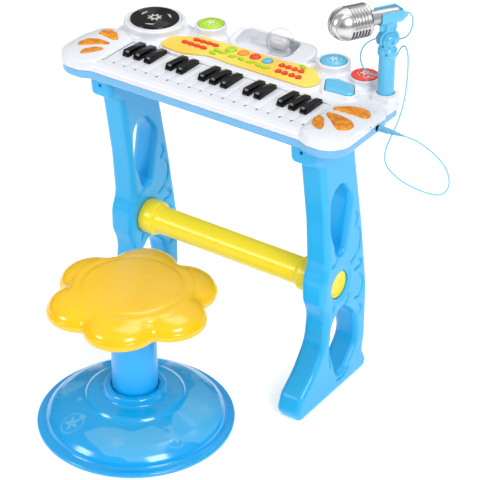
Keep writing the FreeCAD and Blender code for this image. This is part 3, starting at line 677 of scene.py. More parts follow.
class TOY_OT_deck(Piece, bpy.types.Operator):
    """White upper housing: lobes, towers, hump with its bay and the socket block"""

    bl_idname = "toy.deck"
    bl_label = "Deck"

    def build(self, sizes, colours):
        step = sizes.deck_step
        low = np.array((-228.0, FRONT - 32, SEAM - 3))
        x, y, z = axes(low, (228, FRONT + 176, TOWER_TOP + 4), step)
        deck = outline(moved(DECK), x, y)
        body = prism(deck, z, SEAM - 6, DECK_TOP - 0.6, sizes.deck_edge)
        for side in (-1, 1):
            lobe = outline(moved([(u * side, v, r) for u, v, r in LOBE][::side]), x, y)
            dome = z - DECK_TOP - sizes.lobe_crown * (1 - np.clip(1 + lobe / 26, 0, 1) ** 2)
            body = join(body, np.maximum(dome, np.maximum(lobe, SEAM - z)), 4)
        for centre_x, centre_y, radius, flare in towers():
            slope = flare * np.clip((TOWER_TOP - z) / (TOWER_TOP - SEAM), 0, 1)
            tower = prism(circle(x, y, centre_x, centre_y, radius + slope), z, SEAM - 6, TOWER_TOP, 2.6)
            body = join(body, tower, sizes.tower_blend)
        hump_top = node_box("upper_housing")[1][2] - 3.5
        rise = DECK_TOP + 4.2 + (hump_top - DECK_TOP - 4.2) * np.clip((y - FRONT - 128) / 34, 0, 1)
        hump = prism(outline(moved(HUMP), x, y), z, SEAM - 6, hump_top, 4.0)
        hump = clip(hump, z - rise, 3)
        body = join(body, hump, 7)
        seat = prism(outline(moved(PANEL), x, y) - 2.4, z, SEAM, DECK_TOP + 2, 1.2)
        body = join(body, seat, 3)
        ledge = prism(outline(moved(VOICE_BUTTON), x, y) - 5.5, z, SEAM, DECK_TOP + 4.2, 2.4)
        body = join(body, ledge, 5)
        shelf = prism(outline(moved(SHELF), x, y), z, SEAM, DECK_TOP + 3.0, 2.4)
        body = join(body, shelf, 5)
        block = brick(x, y, z, (193.5, FRONT + 98.5, SEAM - 6), (220.5, FRONT + 125, DECK_TOP + 9.8), 2.6)
        body = join(body, block, 5)
        body = clip(body, SEAM - z)
        inner = prism(deck + WALL, z, SEAM - 8, DECK_TOP - 0.6 - WALL, sizes.deck_edge - WALL)
        for centre_x, centre_y, radius, _ in towers():
            room = column(x, y, z, (centre_x, centre_y), radius - WALL, SEAM - 8, TOWER_TOP - 7.4)
            inner = join(inner, room)
        tub = prism(outline(moved(BAY), x, y) - WALL, z, SEAM, hump_top)
        post = middle("mic_post")
        socket = column(x, y, z, post, 13, SEAM, DECK_TOP + 9)
        inner = carve(inner, join(tub, socket))
        body = carve(body, inner)
        keys_low, keys_high = node_box(WHITE_KEYS[0])[0], node_box(WHITE_KEYS[-1])[1]
        field_high = node_box(BLACK_KEYS[0])[0][1] + 39.2
        well_high = (keys_high[0] + 0.3, field_high, ABOVE)
        well = brick(x, y, z, (keys_low[0] - 0.3, FRONT - 0.5, 0), well_high, 0.5)
        body = carve(body, well, 0.4)
        pitch = (keys_high[0] - keys_low[0]) / len(WHITE_KEYS)
        beat = np.abs((x - keys_low[0] + pitch / 2) % pitch - pitch / 2)
        nicks = np.maximum(np.maximum(beat - 0.95, np.abs(y - FRONT + 2.2) - 2.6),
                           np.maximum(np.abs(x) - 159, KEY_TOP - 1.5 - z))
        body = carve(body, nicks, 0.3)
        bay_floor = node_box("upper_housing")[0][2] + 4.2
        body = carve(body, prism(outline(moved(BAY), x, y), z, bay_floor, ABOVE, 5.0), 3.5)
        window = brick(x, y, z, (-99, FRONT + 79, SEAM), (97, FRONT + 115, ABOVE))
        window = join(window, brick(x, y, z, (71, FRONT + 112, SEAM), (85, FRONT + 124, ABOVE)))
        body = carve(body, window)
        body = carve(body, prism(outline(moved(VOICE_BUTTON), x, y) - 0.8, z, SEAM, ABOVE), 1.2)
        for name in PADS:
            centre = middle("drum_pad_" + name)
            body = carve(body, column(x, y, z, centre, PAD_WELL, TOWER_TOP - 5, ABOVE), 0.8)
            body = carve(body, column(x, y, z, centre, PAD_STEM_HOLE, SEAM, ABOVE))
        disc = middle("turntable_disc")
        groove = np.abs(circle(x, y, disc[0], disc[1], DISC_GROOVE)) - 1.0
        body = carve(body, prism(groove, z, TOWER_TOP - 1.4, ABOVE, 0.6), 1.0)
        body = carve(body, column(x, y, z, disc, SPINDLE_HOLE, SEAM, ABOVE))
        body = carve(body, column(x, y, z, post, POST_HOLE, SEAM + 3, ABOVE), 1.2)
        jack = middle("mic_plug")
        side_hole = circle(y, z, jack[1] - 17, SEAM + 4.5, 1.6)
        body = carve(body, clip(side_hole, 216 - x), 0.6)
        white = moulded("deck_white", colours.deck, 0.26, 0.03, 0.35, 0.02, 0.08)
        shell = skin("deck_shell", body, low, step, white)
        settle(shell, "root", "deck_white", "upper_housing")
        self.bay_cradle(colours)
        self.key_nicks(keys_low[0], keys_high[0])

    def key_nicks(self, left, right):
        """Painted shade: dark boxes at the bottom of the nicks on the front strip, one between each two white
        keys, standing for the shade inside the nicks.
        """
        dark = speckled("nick_dark", (0.02, 0.02, 0.022), (0.05, 0.05, 0.055), 800.0, Roughness=0.6)
        floors = bmesh.new()
        shape = Matrix.Diagonal((1.7 * MM, 4.6 * MM, 0.9 * MM, 1))
        for n in range(len(WHITE_KEYS) + 1):
            centre = left + 0.2 + n * (right - left - 0.4) / len(WHITE_KEYS)
            spot = Matrix.Translation(Vector((centre, FRONT - 2.2, DECK_TOP - 1.7)) * MM)
            bmesh.ops.create_cube(floors, size=1.0, matrix=spot @ shape)
        settle(drawn("key_nicks", floors, dark, False), "root", "speaker_dark")

    def bay_cradle(self, colours):
        """Pedestal that carries the light drum."""
        dome_low, _, place = standing("light_dome")
        floor = node_box("upper_housing")[0][2] + 4
        top = dome_low[2] - 0.1
        profile = [(0, floor - 1), (17, floor - 1), (15.5, floor + 4), (14.2, top), (0, top)]
        seat = lathe("dome_seat", profile, place, moulded("seat_white", colours.deck, 0.3), 64)
        settle(seat, "root", "deck_white")


class TOY_OT_tray(Piece, bpy.types.Operator):
    """Light blue lower housing with its battery cover and grille"""

    bl_idname = "toy.tray"
    bl_label = "Tray"

    def build(self, sizes, colours):
        step = sizes.deck_step * 1.2
        low = np.array((-227.0, FRONT - 31, SHELL_LOW - 3))
        x, y, z = axes(low, (227, FRONT + 175, SEAM + 4), step)
        plan = join(outline(moved(DECK), x, y), outline(moved(HUMP), x, y), 8)
        for centre_x, centre_y, radius, flare in towers():
            plan = join(plan, circle(x, y, centre_x, centre_y, radius + flare), 8)
        body = clip(prism(plan + 0.7, z, SHELL_LOW, SEAM + 10, 4.5), z - SEAM + 0.1)
        body = carve(body, prism(outline(moved(DECK), x, y) + WALL + 1, z, SHELL_LOW + WALL, ABOVE, 2.0))
        cover_low, cover_high = node_box("battery_cover")
        body = carve(body, brick(x, y, z, (cover_low[0] - 0.6, cover_low[1] - 0.6, 0),
                                 (cover_high[0] + 0.6, cover_high[1] + 0.6, SEAM)))
        speaker = middle("speaker")
        for ring, count in ((0, 1), (6, 6), (12, 12)):
            for n in range(count):
                angle = 2 * math.pi * n / count
                spot = (speaker[0] + ring * math.cos(angle), speaker[1] + ring * math.sin(angle))
                body = carve(body, column(x, y, z, spot, 1.7, 0, SHELL_LOW + 4))
        jack = middle("mic_plug")
        body = carve(body, clip(circle(y, z, jack[1], jack[2], 4.5), 212 - x))
        blue = moulded("tray_blue", colours.tray, 0.33, 0.05, 0.2)
        settle(skin("tray_shell", body, low, step, blue), "root", "shell_blue", "lower_housing")
        cover = softened("battery_cover", 0.6, blue)
        self.fasteners()

    def fasteners(self):
        """Cross-head screws under the tray."""
        steel = screw_steel()
        for n, (u, v) in enumerate(TRAY_SCREWS):
            place = Matrix.Translation((u, v + FRONT, SHELL_LOW)) @ Matrix.Rotation(math.pi, 4, "X")
            settle(cross_screw("tray_screw_%d" % n, place, steel, 3.0), "root", "speaker_dark")


def screw_steel():
    finish = speckled("screw_steel", (0.30, 0.30, 0.31), (0.45, 0.45, 0.46), 900.0, Metallic=1.0)
    finish.feed("Roughness", 0.3 + finish.noise(1500.0) * 0.2)
    return finish


def cross_screw(name, place, finish, radius):
    """Pan-head screw with a crossed recess, its head rising 0.4 mm along Z of place."""
    step = 0.15
    low = np.array((-radius - 1, -radius - 1, -2.0))
    x, y, z = axes(low, (radius + 1, radius + 1, 1.2), step)
    head = prism(circle(x, y, 0, 0, radius), z, -1.6, 0.0, 0.5)
    for u, v in ((x, y), (y, x)):
        slot = np.maximum(np.abs(u) - radius * 0.62, np.abs(v) - radius * 0.14)
        head = carve(head, np.maximum(slot, -0.9 - z), 0.1)
    return skin(name, head, low, step, finish, place)


class TOY_OT_keys(Piece, bpy.types.Operator):
    """White and black keys"""

    bl_idname = "toy.keys"
    bl_label = "Keys"

    def build(self, sizes, colours):
        ivory = moulded("key_white", shade(colours.deck, 0.99), 0.22, 0.02, 0.4, 0.015, 0.05)
        ebony = moulded("key_black", colours.black, 0.14, 0.015, 0.12, 0.2)
        ebony.shader.inputs["Specular IOR Level"].default_value = 0.22
        for name in WHITE_KEYS:
            softened(name, sizes.key_edge, ivory)
        for name in BLACK_KEYS:
            softened(name, sizes.key_edge * 1.3, ebony)


def bell(u, v, centre_u, centre_v):
    """Bell-shaped button outline: a round crown that widens to a skirt."""
    crown = circle(u, v, centre_u, centre_v + 1.4, 2.7)
    height = v - centre_v
    skirt = np.maximum(np.abs(u - centre_u) - 3.9 + (height + 2.6) * 0.35, np.abs(height + 1.4) - 1.9)
    clapper = circle(u, v, centre_u, centre_v - 3.4, 1.2)
    return join(join(crown, skirt, 1.5), clapper, 0.8)


def leaf(u, v, centre_u, centre_v, lean):
    """Leaf-shaped outline, as where two circles cross."""
    du, dv = u - centre_u, v - centre_v
    along = du * math.cos(lean) + dv * math.sin(lean)
    across = dv * math.cos(lean) - du * math.sin(lean)
    reach = 5.2
    upper = np.sqrt(along ** 2 + (across - reach) ** 2)
    lower = np.sqrt(along ** 2 + (across + reach) ** 2)
    return np.maximum(upper, lower) - 8.0


def pill(u, v, centre_u, centre_v):
    share = np.clip((u - centre_u) / 3.0, -1, 1)
    return np.sqrt((u - centre_u - share * 1.3) ** 2 + (v - centre_v) ** 2) - 3.25


class TOY_OT_panel(Piece, bpy.types.Operator):
    """Yellow control panel with all its buttons"""

    bl_idname = "toy.panel"
    bl_label = "Control panel"

    def build(self, sizes, colours):
        step = sizes.fine_step
        low_box, high_box = node_box("control_panel")
        base, top = low_box[2], high_box[2]
        low = np.array((low_box[0] - 2, low_box[1] - 2, base - 7))
        x, y, z = axes(low, (high_box[0] + 2, high_box[1] + 2, top + 4), step)
        red = np.inf
        for u, v in PILLS:
            red = np.minimum(red, pill(x, y, u, v + FRONT))
        for u, v in BELLS:
            red = np.minimum(red, bell(x, y, u, v + FRONT))
        green = np.inf
        for n, (u, v) in enumerate(LEAVES):
            green = np.minimum(green, leaf(x, y, u, v + FRONT, 0.5 if n % 2 else -0.35))
        plate = prism(outline(moved(PANEL), x, y), z, base, top, 1.2)
        holes = np.minimum(red, green) - 0.35
        for u, v, _ in MODE_BUTTONS:
            holes = np.minimum(holes, circle(x, y, u, v + FRONT, 7.55))
        plate = carve(plate, prism(holes, z, base - 5, top + 5), 0.5)
        panel = skin("panel_plate", plate, low, step, self.panel_finish(colours, low_box, high_box))
        settle(panel, "root", "panel_yellow", "control_panel")
        rise = node_box("keypad_red")[1][2]
        keypads = (("red_keypad", red, "keypad_red", "button_red", colours.red),
                   ("green_keypad", green, "keypad_green", "button_green", colours.green))
        for name, flat, node, slot, tone in keypads:
            crown = rise - 0.05 * np.maximum(flat + 3, 0) ** 2
            caps = clip(prism(flat, z, base - 4, rise, 0.9), z - crown)
            keypad = skin(name, caps, low, step, moulded(name, tone, 0.34, 0.04, 0.1, 0.06, 0.1))
            settle(keypad, node, slot, node)
        for u, v, name in MODE_BUTTONS:
            place = Matrix.Translation((u, v + FRONT, 0))
            profile = [(0, base - 4), (7.1, base - 4), (7.1, top + 1.2), (6.3, top + 1.9), (5.6, top + 1.5),
                       (4.8, top + 2.0), (2.5, top + 2.35), (0, top + 2.4)]
            gloss = moulded("mode_" + name, getattr(colours, name), 0.28, 0.03, 0.35, 0.06, 0.1)
            button = lathe("mode_button_" + name, profile, place, gloss, 72, 0.5)
            settle(button, "mode_buttons", "button_mixed", "mode_buttons")
        self.legends(top)

    def panel_finish(self, colours, low, high):
        finish = moulded("panel_yellow", colours.panel, 0.36, 0.03, 0.15, 0.03)
        across = finish.axis("X", (low[0] + high[0]) / 2 * MM)
        along = finish.axis("Y", (low[1] + high[1]) / 2 * MM)
        sweep = (across * 46.0 + along * 20.0).math("SINE") * 0.5 + 0.5
        warm = sweep.smooth(0.2, 0.95) * 0.55
        finish.feed("Base Color", finish.tint(colours.panel, linear(255, 190, 40), warm))
        return finish

    def legends(self, top):
        """Small printed dashes and dots beside the buttons, in place of words."""
        ink = speckled("legend_ink", (0.12, 0.05, 0.03), (0.2, 0.09, 0.05), 400.0, Roughness=0.5)
        marks = bmesh.new()
        places = [(u, v - 6.0, 4.0) for u, v in PILLS[4:] + BELLS[4:]]
        places += [(u + 1.0, v + 5.2, 3.0) for u, v in PILLS[:4] + BELLS[:4]]
        places += [(u, v + 9.0, 5.0) for u, v, _ in MODE_BUTTONS]
        places += [(u + 3, v - 5.6, 3.4) for u, v in LEAVES[3:8]]
        for u, v, span in places:
            for part in range(3):
                start = u - span / 2 + part * span / 3
                wide = span / 3 - 0.5 + 0.25 * math.sin(u + part)
                corners = [(start, v), (start + wide, v), (start + wide, v + 0.7), (start, v + 0.7)]
                lower = [marks.verts.new(Vector((a, b + FRONT, top - 0.05)) * MM) for a, b in corners]
                upper = [marks.verts.new(Vector((a, b + FRONT, top + 0.06)) * MM) for a, b in corners]
                marks.faces.new(upper)
                marks.faces.new(lower[::-1])
                for n in range(4):
                    marks.faces.new((lower[n], lower[(n + 1) % 4], upper[(n + 1) % 4], upper[n]))
        settle(drawn("panel_legends", marks, ink, False), "root", "speaker_dark")


class TOY_OT_pads(Piece, bpy.types.Operator):
    """Drum pads, voice button and record disc"""

    bl_idname = "toy.pads"
    bl_label = "Pads and disc"

    def build(self, sizes, colours):
        for name in PADS:
            node = "drum_pad_" + name
            low, high, place = standing(node)
            top = high[2]
            profile = [(0, low[2]), (4, low[2]), (4, top - 4.6), (17.6, top - 4.4), (17.6, top - 2.6),
                       (16.9, top - 1.9), (15.6, top - 1.75), (15.0, top - 2.1), (14.2, top - 1.5),
                       (9, top - 0.5), (4, top - 0.1), (0, top)]
            finish = self.printed(name, getattr(colours, name), middle(node))
            cap = lathe("pad_" + name, profile, place, finish, 128, 0.5)
            settle(cap, node, "pad_" + name, node)
        self.voice(sizes, colours)
        self.record(colours)

    def printed(self, name, tone, centre):
        """Pad plastic with a pale five-petalled print in its middle."""
        finish = moulded("pad_" + name, tone, 0.22, 0.02, 0.5, 0.04)
        reach, angle = finish.polar(centre)
        petals = 4.6 + (angle * 5.0).math("COSINE") * 1.7
        flower = 1.0 - (reach - petals).smooth(-0.2, 0.2)
        heart = 1.0 - reach.smooth(1.6, 1.9)
        ring = 1.0 - (reach - 9.5).math("ABSOLUTE").smooth(0.3, 0.6)
        dashes = (angle * 9.0).math("SINE").smooth(0.0, 0.2)
        mark = (flower - heart).largest(ring * dashes)
        finish.feed("Base Color", finish.tint(tone, (0.86, 0.9, 0.88), mark * 0.75))
        return finish

    def voice(self, sizes, colours):
        step = sizes.fine_step
        low_box, high_box = node_box("voice_button")
        low = low_box - 2
        x, y, z = axes(low, high_box + 2, step)
        flat = outline(moved(VOICE_BUTTON), x, y)
        crown = high_box[2] - 0.012 * np.maximum(12 + flat, 0) ** 2
        cap = clip(prism(flat, z, low_box[2], high_box[2], 1.8), z - crown, 0.8)
        blue = moulded("voice_blue", colours.blue, 0.24, 0.02, 0.5, 0.04)
        button = skin("voice_button_cap", cap, low, step, blue)
        settle(button, "voice_button", "button_blue", "voice_button")

    def record(self, colours):
        low, high, place = standing("turntable_disc")
        top = high[2]
        radius = (high[0] - low[0]) / 2
        profile = [(0, low[2]), (3, low[2]), (3, top - 2.5), (radius - 0.4, top - 2.5), (radius, top - 1.6),
                   (radius - 0.6, top - 0.5), (radius - 2.2, top - 0.2), (radius - 2.8, top - 0.75)]
        groove = radius - 3.4
        while groove > 13.5:
            profile += [(groove, top - 0.65), (groove - 0.45, top - 0.9)]
            groove -= 0.9
        profile += [(12.6, top - 0.55), (12.0, top - 0.3), (4, top - 0.3), (3.2, top - 0.02), (0, top)]
        finish = Finish("record_black", Coat_Roughness=0.06, IOR=1.5)
        finish.shader.inputs["Coat Weight"].default_value = 0.1
        finish.shader.inputs["Specular IOR Level"].default_value = 0.22
        reach, angle = finish.polar(middle("turntable_disc"))
        star = 8.0 + (angle * 8.0).math("SINE") * 2.4
        badge = (1.0 - (reach - star).smooth(-0.25, 0.25)) * reach.smooth(3.4, 3.7)
        bands = (angle * 3.0 + reach * 0.25).math("SINE").smooth(0.72, 0.78)
        wedge = bands * (1.0 - (reach - 21.0).math("ABSOLUTE").smooth(1.2, 1.6))
        silver = badge.largest(wedge)
        finish.feed("Base Color", finish.tint(colours.black, (0.62, 0.62, 0.64), silver * 0.85))
        finish.feed("Roughness", 0.16 + finish.noise(120.0) * 0.08 + silver * 0.15)
        disc = lathe("record_disc", profile, place, finish, 160, 0.25)
        settle(disc, "turntable_disc", "record_black", "turntable_disc")


class TOY_OT_lights(Piece, bpy.types.Operator):
    """Orange light lenses, clear globe and its drum"""

    bl_idname = "toy.lights"
    bl_label = "Lights"

    def build(self, sizes, colours):
        step = 0.8
        finish = Finish("lens_orange", IOR=1.5, Coat_Roughness=0.05, Specular_IOR_Level=0.3)
        finish.shader.inputs["Coat Weight"].default_value = 0.3
        finish.shader.inputs["Subsurface Weight"].default_value = 0.12
        finish.shader.inputs["Subsurface Radius"].default_value = (0.004, 0.002, 0.001)
        bubbles = finish.cells(130.0)
        depth = bubbles.smooth(0.1, 0.8)
        streak = finish.noise(60.0, 3.0).smooth(0.35, 0.7)
        warm = finish.tint(colours.lens, shade(colours.lens, 0.6), depth)
        finish.feed("Base Color", finish.tint(warm, linear(248, 170, 20), streak * 0.25))
        finish.feed("Roughness", 0.12 + finish.noise(300.0) * 0.1)
        finish.bump(depth * -1.0, 0.35, 0.001)
        low_box, high_box = node_box("light_lenses")
        for side, slices in (("left", SLICES[:3]), ("right", SLICES[3:])):
            edge = (low_box[0] - 2, -150.0) if side == "left" else (150.0, high_box[0] + 2)
            low = np.array((edge[0], low_box[1] - 2, low_box[2] - 3))
            x, y, z = axes(low, (edge[1], high_box[1] + 2, high_box[2] + 2), step)
            body = np.inf
            for corners in slices:
                flat = outline(moved(corners), x, y) - 0.4
                body = np.minimum(body, prism(flat, z, low_box[2] - 2, high_box[2] + 0.6, 4.4))
            lens = skin("lens_" + side, body, low, step, finish)
            settle(lens, "root", "lens_orange", "light_lenses")
        self.globe(colours)

    def globe(self, colours):
        low, high = node_box("light_dome")
        centre = (low + high) / 2
        radius = (high[0] - low[0]) / 2
        middle_z = high[2] - radius
        place = Matrix.Translation((centre[0], centre[1], middle_z))
        clear = Finish("dome_clear", IOR=1.49, Roughness=0.05, Specular_IOR_Level=0.2)
        rim = clear.node("ShaderNodeLayerWeight", {}, {"Blend": 0.42}, "Facing")
        clear.feed("Base Color", clear.tint((0.44, 0.47, 0.50), (0.36, 0.39, 0.42), clear.noise(40.0)))
        clear.feed("Alpha", 0.05 + rim.smooth(0.55, 0.9) * 0.7)
        clear.material.surface_render_method = "BLENDED"
        start = math.asin(-12.4 / radius)
        outer = [(radius * math.cos(a), radius * math.sin(a)) for a in np.linspace(start, math.pi / 2, 20)]
        inner = [(max(0.0, r - 1.3 * r / radius), z - 1.3 * z / radius) for r, z in outer]
        outer[-1] = (0.0, radius)
        inner[-1] = (0.0, radius - 1.3)
        dome = lathe("clear_globe", inner[::-1] + outer, place, clear, 96, 0.01)
        settle(dome, "root", "dome_clear", "light_dome")
        low, high = node_box("light_drum")
        place = Matrix.Translation(tuple(middle("light_drum"))) @ Matrix.Rotation(math.radians(90), 4, "Y")
        r = (high[2] - low[2]) / 2
        profile = [(0, -13), (r - 1.6, -13), (r + 0.6, -12.2), (r + 0.6, -10.6), (r - 0.8, -10.2),
                   (r - 0.8, -8.8), (r + 0.3, -8.4), (r + 0.3, -7.0), (r - 0.2, -6.6), (r - 0.2, 7.5),
                   (r - 1.6, 11), (r - 4, 13), (1.6, 13.6), (0, 13.6)]
        white = moulded("drum_white", shade(colours.deck, 0.93), 0.25, 0.03, 0.3, 0.05)
        drum = lathe("light_drum_barrel", profile, place, white, 72, 0.7)
        settle(drum, "light_drum", "drum_white", "light_drum")


class TOY_OT_legs(Piece, bpy.types.Operator):
    """Both legs and the crossbar"""

    bl_idname = "toy.legs"
    bl_label = "Legs and crossbar"

    def build(self, sizes, colours):
        blue = moulded("leg_blue", colours.leg, 0.34, 0.07, 0.15, 0.06)
        bar_low, bar_high = node_box("crossbar")
        bar = (bar_low + bar_high) / 2
        collar_radius = (bar_high[2] - bar_low[2]) / 2
        bar_radius = collar_radius - 4.8
        step = sizes.leg_step
        edge = sizes.leg_edge
        for side, node in ((-1, "left_leg"), (1, "right_leg")):
            low_box, high_box = node_box(node)
            low = low_box - 3
            x, y, z = axes(low, high_box + 3, step)
            plan = outline(upright(LEG), y, z)
            body = prism(plan, x, low_box[0], high_box[0], edge)
            body = clip(body, np.maximum(low_box[2] - z, z - high_box[2] + 0.1), 1.0)
            middle_x = (low_box[0] + high_box[0]) / 2
            hub = circle(y, z, bar[1], bar[2], 0.0)
            face_gap = np.abs(np.abs(x - middle_x) - 18.5)
            for gap in LEG_GAPS:
                hole = outline(upright(gap), y, z)
                flare = np.maximum(0, np.abs(x - middle_x) - 11.0) * 0.45
                body = carve(body, hole - flare, 3.0)
            body = carve(body, np.maximum(np.abs(hub - 23.5) - 1.6, face_gap - 1.0), 1.2)
            body = carve(body, self.arcs(y, z, face_gap), 1.2)
            for height, depth in ((402, 4), (378, 28)):
                bolt = circle(x, z, middle_x, height, 2.4)
                body = carve(body, np.maximum(bolt, y - FRONT - depth), 0.8)
            body = carve(body, hub - bar_radius - 0.5, 1.5)
            leg = skin("leg_" + ("right" if side > 0 else "left"), body, low, step, blue)
            settle(leg, "root", "leg_blue", node)
        yellow = moulded("bar_yellow", colours.bar, 0.32, 0.05, 0.2, 0.05)
        place = Matrix.Translation((0, bar[1], bar[2])) @ Matrix.Rotation(math.radians(90), 4, "Y")
        end = bar_high[0]
        r = bar_radius - 0.15
        face = node_box("right_leg")[0][0]
        ring = collar_radius - 0.2
        half = [(0, end - 2.4), (r - 5, end - 2.4), (r - 3.2, end - 0.3), (r, end - 0.3), (r, face + 0.3),
                (ring, face + 0.2), (ring, face - 19), (ring - 1.4, face - 21.4), (r + 0.8, face - 22.4),
                (r - 0.1, face - 24.5)]
        profile = [(radius, -height) for radius, height in half] + half[::-1]
        settle(lathe("crossbar_tube", profile, place, yellow, 96, 1.0), "root", "bar_yellow", "crossbar")

    def arcs(self, y, z, face_gap):
        """Shallow petal-shaped grooves round the hub and beside the openings."""
        nearest = np.full(np.broadcast(y, z).shape, 1e9)
        for points in LEG_ARCS:
            bent = softened_profile([(u + FRONT, v) for u, v in points], 9, 5)
            for (au, av), (bu, bv) in zip(bent, bent[1:]):
                span = (bu - au) ** 2 + (bv - av) ** 2
                share = np.clip(((y - au) * (bu - au) + (z - av) * (bv - av)) / span, 0, 1)
                off_y = y - au - share * (bu - au)
                off_z = z - av - share * (bv - av)
                nearest = np.minimum(nearest, np.hypot(off_y, off_z))
        return np.maximum(nearest - 1.7, face_gap - 2.3)


def mic_place():
    """Microphone's own frame: Z from its tail to its nose, at the cradle's axis."""
    tilt = joint("mic_tilt")
    side, up = Vector(tilt["axis"]), Vector(joint("mic_lift")["axis"])
    nose = side.cross(up).normalized()
    pivot = Vector(tilt["pos_m"]) / MM
    origin = Vector((pivot.x, pivot.y, pivot.z + CLIP_RISE))
    turned = Matrix((side, up, nose)).transposed().to_4x4()
    return Matrix.Translation(origin) @ turned


class TOY_OT_microphone(Piece, bpy.types.Operator):
    """Chrome head with its slots, and the silver grip"""

    bl_idname = "toy.microphone"
    bl_label = "Microphone"

    def build(self, sizes, colours):
        place = mic_place()
        step = 0.45
        wide = 21.6
        low = np.array((-24.0, -24.0, 28.0))
        x, y, z = axes(low, (24, 24, 86), step)
        reach = np.sqrt(x * x + y * y)
        ribbed = np.clip((y + 1) / 3, 0, 1) * np.clip(z - RIBS_FROM, 0, 1) * np.clip(RIBS_TO + 0.5 - z, 0, 1)
        wave = 0.5 * ribbed * (1 - np.cos((z - RIBS_FROM) * 2 * math.pi / RIB_PITCH))
        head = prism(reach - wide + wave, z, 31, 62, 3.0)
        nose = ellipsoid(x, y, z, (0, 0, 60.0), (wide, wide, 23.3))
        head = join(head, clip(nose, 59 - z), 0.4)
        span = np.maximum(RIBS_FROM - z, z - RIBS_TO)
        row = np.abs((z - RIBS_FROM) % RIB_PITCH - RIB_PITCH / 2) - 1.15
        slot = np.maximum(np.maximum(row, span), wide - 4.0 - reach)
        head = carve(head, np.maximum(slot, np.maximum(y + 3.0, -18.5 - y)), 0.6)
        for band in (-12.0, -4.5, 4.5, 12.0):
            cut = np.maximum(np.maximum(np.abs(x - band) - 0.8, 62.5 - z), -(nose + 1.6))
            head = carve(head, cut, 0.6)
        for dot in (-3.0, 0.0, 3.0):
            head = carve(head, np.maximum(circle(x, y, 0, dot, 0.85), 76 - z), 0.3)
        chrome = Finish("head_chrome", Metallic=1.0)
        # Painted shade: the chrome's colour darkens towards grazing angles (shadow) and along painted shade
        # lines over the ribbed band (lines). A dark band also marks the seam with the grip.
        facing = chrome.node("ShaderNodeLayerWeight", {}, {"Blend": 0.35}, "Facing")
        shadow = 0.25 + facing ** 2.0 * 0.6
        along = chrome.along(place.to_3x3() @ Vector((0, 0, 1)), place.translation)
        lines = ((along - RIBS_FROM) * (2 * math.pi / RIB_PITCH)).math("COSINE").smooth(0.55, 0.95)
        lines = lines * along.smooth(RIBS_FROM - 1.0, RIBS_FROM - 0.5)
        lines = lines * (1.0 - along.smooth(RIBS_TO + 0.5, RIBS_TO + 1.0)) * 0.6
        seam = 1.0 - (along - 32.5).math("ABSOLUTE").smooth(0.5, 0.9)
        shaded = shadow.largest(seam * 0.8).largest(lines)
        chrome.feed("Base Color", chrome.tint((0.80, 0.80, 0.81), (0.10, 0.10, 0.11), shaded))
        chrome.feed("Roughness", 0.27 + chrome.noise(220.0) * 0.05)
        shell = skin("microphone_shell", head, low, step, chrome, place)
        settle(shell, "microphone", "head_chrome", "microphone_head")
        dark = Finish("mesh_dark", Roughness=0.7)
        weave = dark.cells(900.0)
        dark.feed("Base Color", dark.tint((0.008, 0.008, 0.009), (0.05, 0.05, 0.055), weave))
        profile = [(0, 34), (18.0, 34), (18.0, 60), (13, 72), (0, 76)]
        core = lathe("microphone_core", profile, place, dark, 64, 2.0)
        settle(core, "microphone", "head_chrome")
        silver = moulded("grip_silver", colours.silver, 0.3, 0.03, 0.3, 0.05)
        silver.shader.inputs["Metallic"].default_value = 0.55
        profile = [(0, -13.9), (7.0, -13.9), (8.4, -12), (8.9, -2), (9.2, 8), (9.4, 18), (10.4, 25),
                   (10.5, 27.0), (9.9, 27.6), (10.5, 28.2), (10.5, 31.0), (0, 31.0)]
        grip = lathe("microphone_grip", profile, place, silver, 96, 0.8)
        settle(grip, "microphone", "grip_silver", "microphone_body")
        tail = lathe("cord_bush", [(0, -14.0), (2.6, -14.0), (2.9, -12.8), (3.2, -12.0), (0, -12.0)], place,
                     moulded("bush_blue", colours.cord, 0.4), 48, 0.4)
        settle(tail, "microphone", "cord_blue")


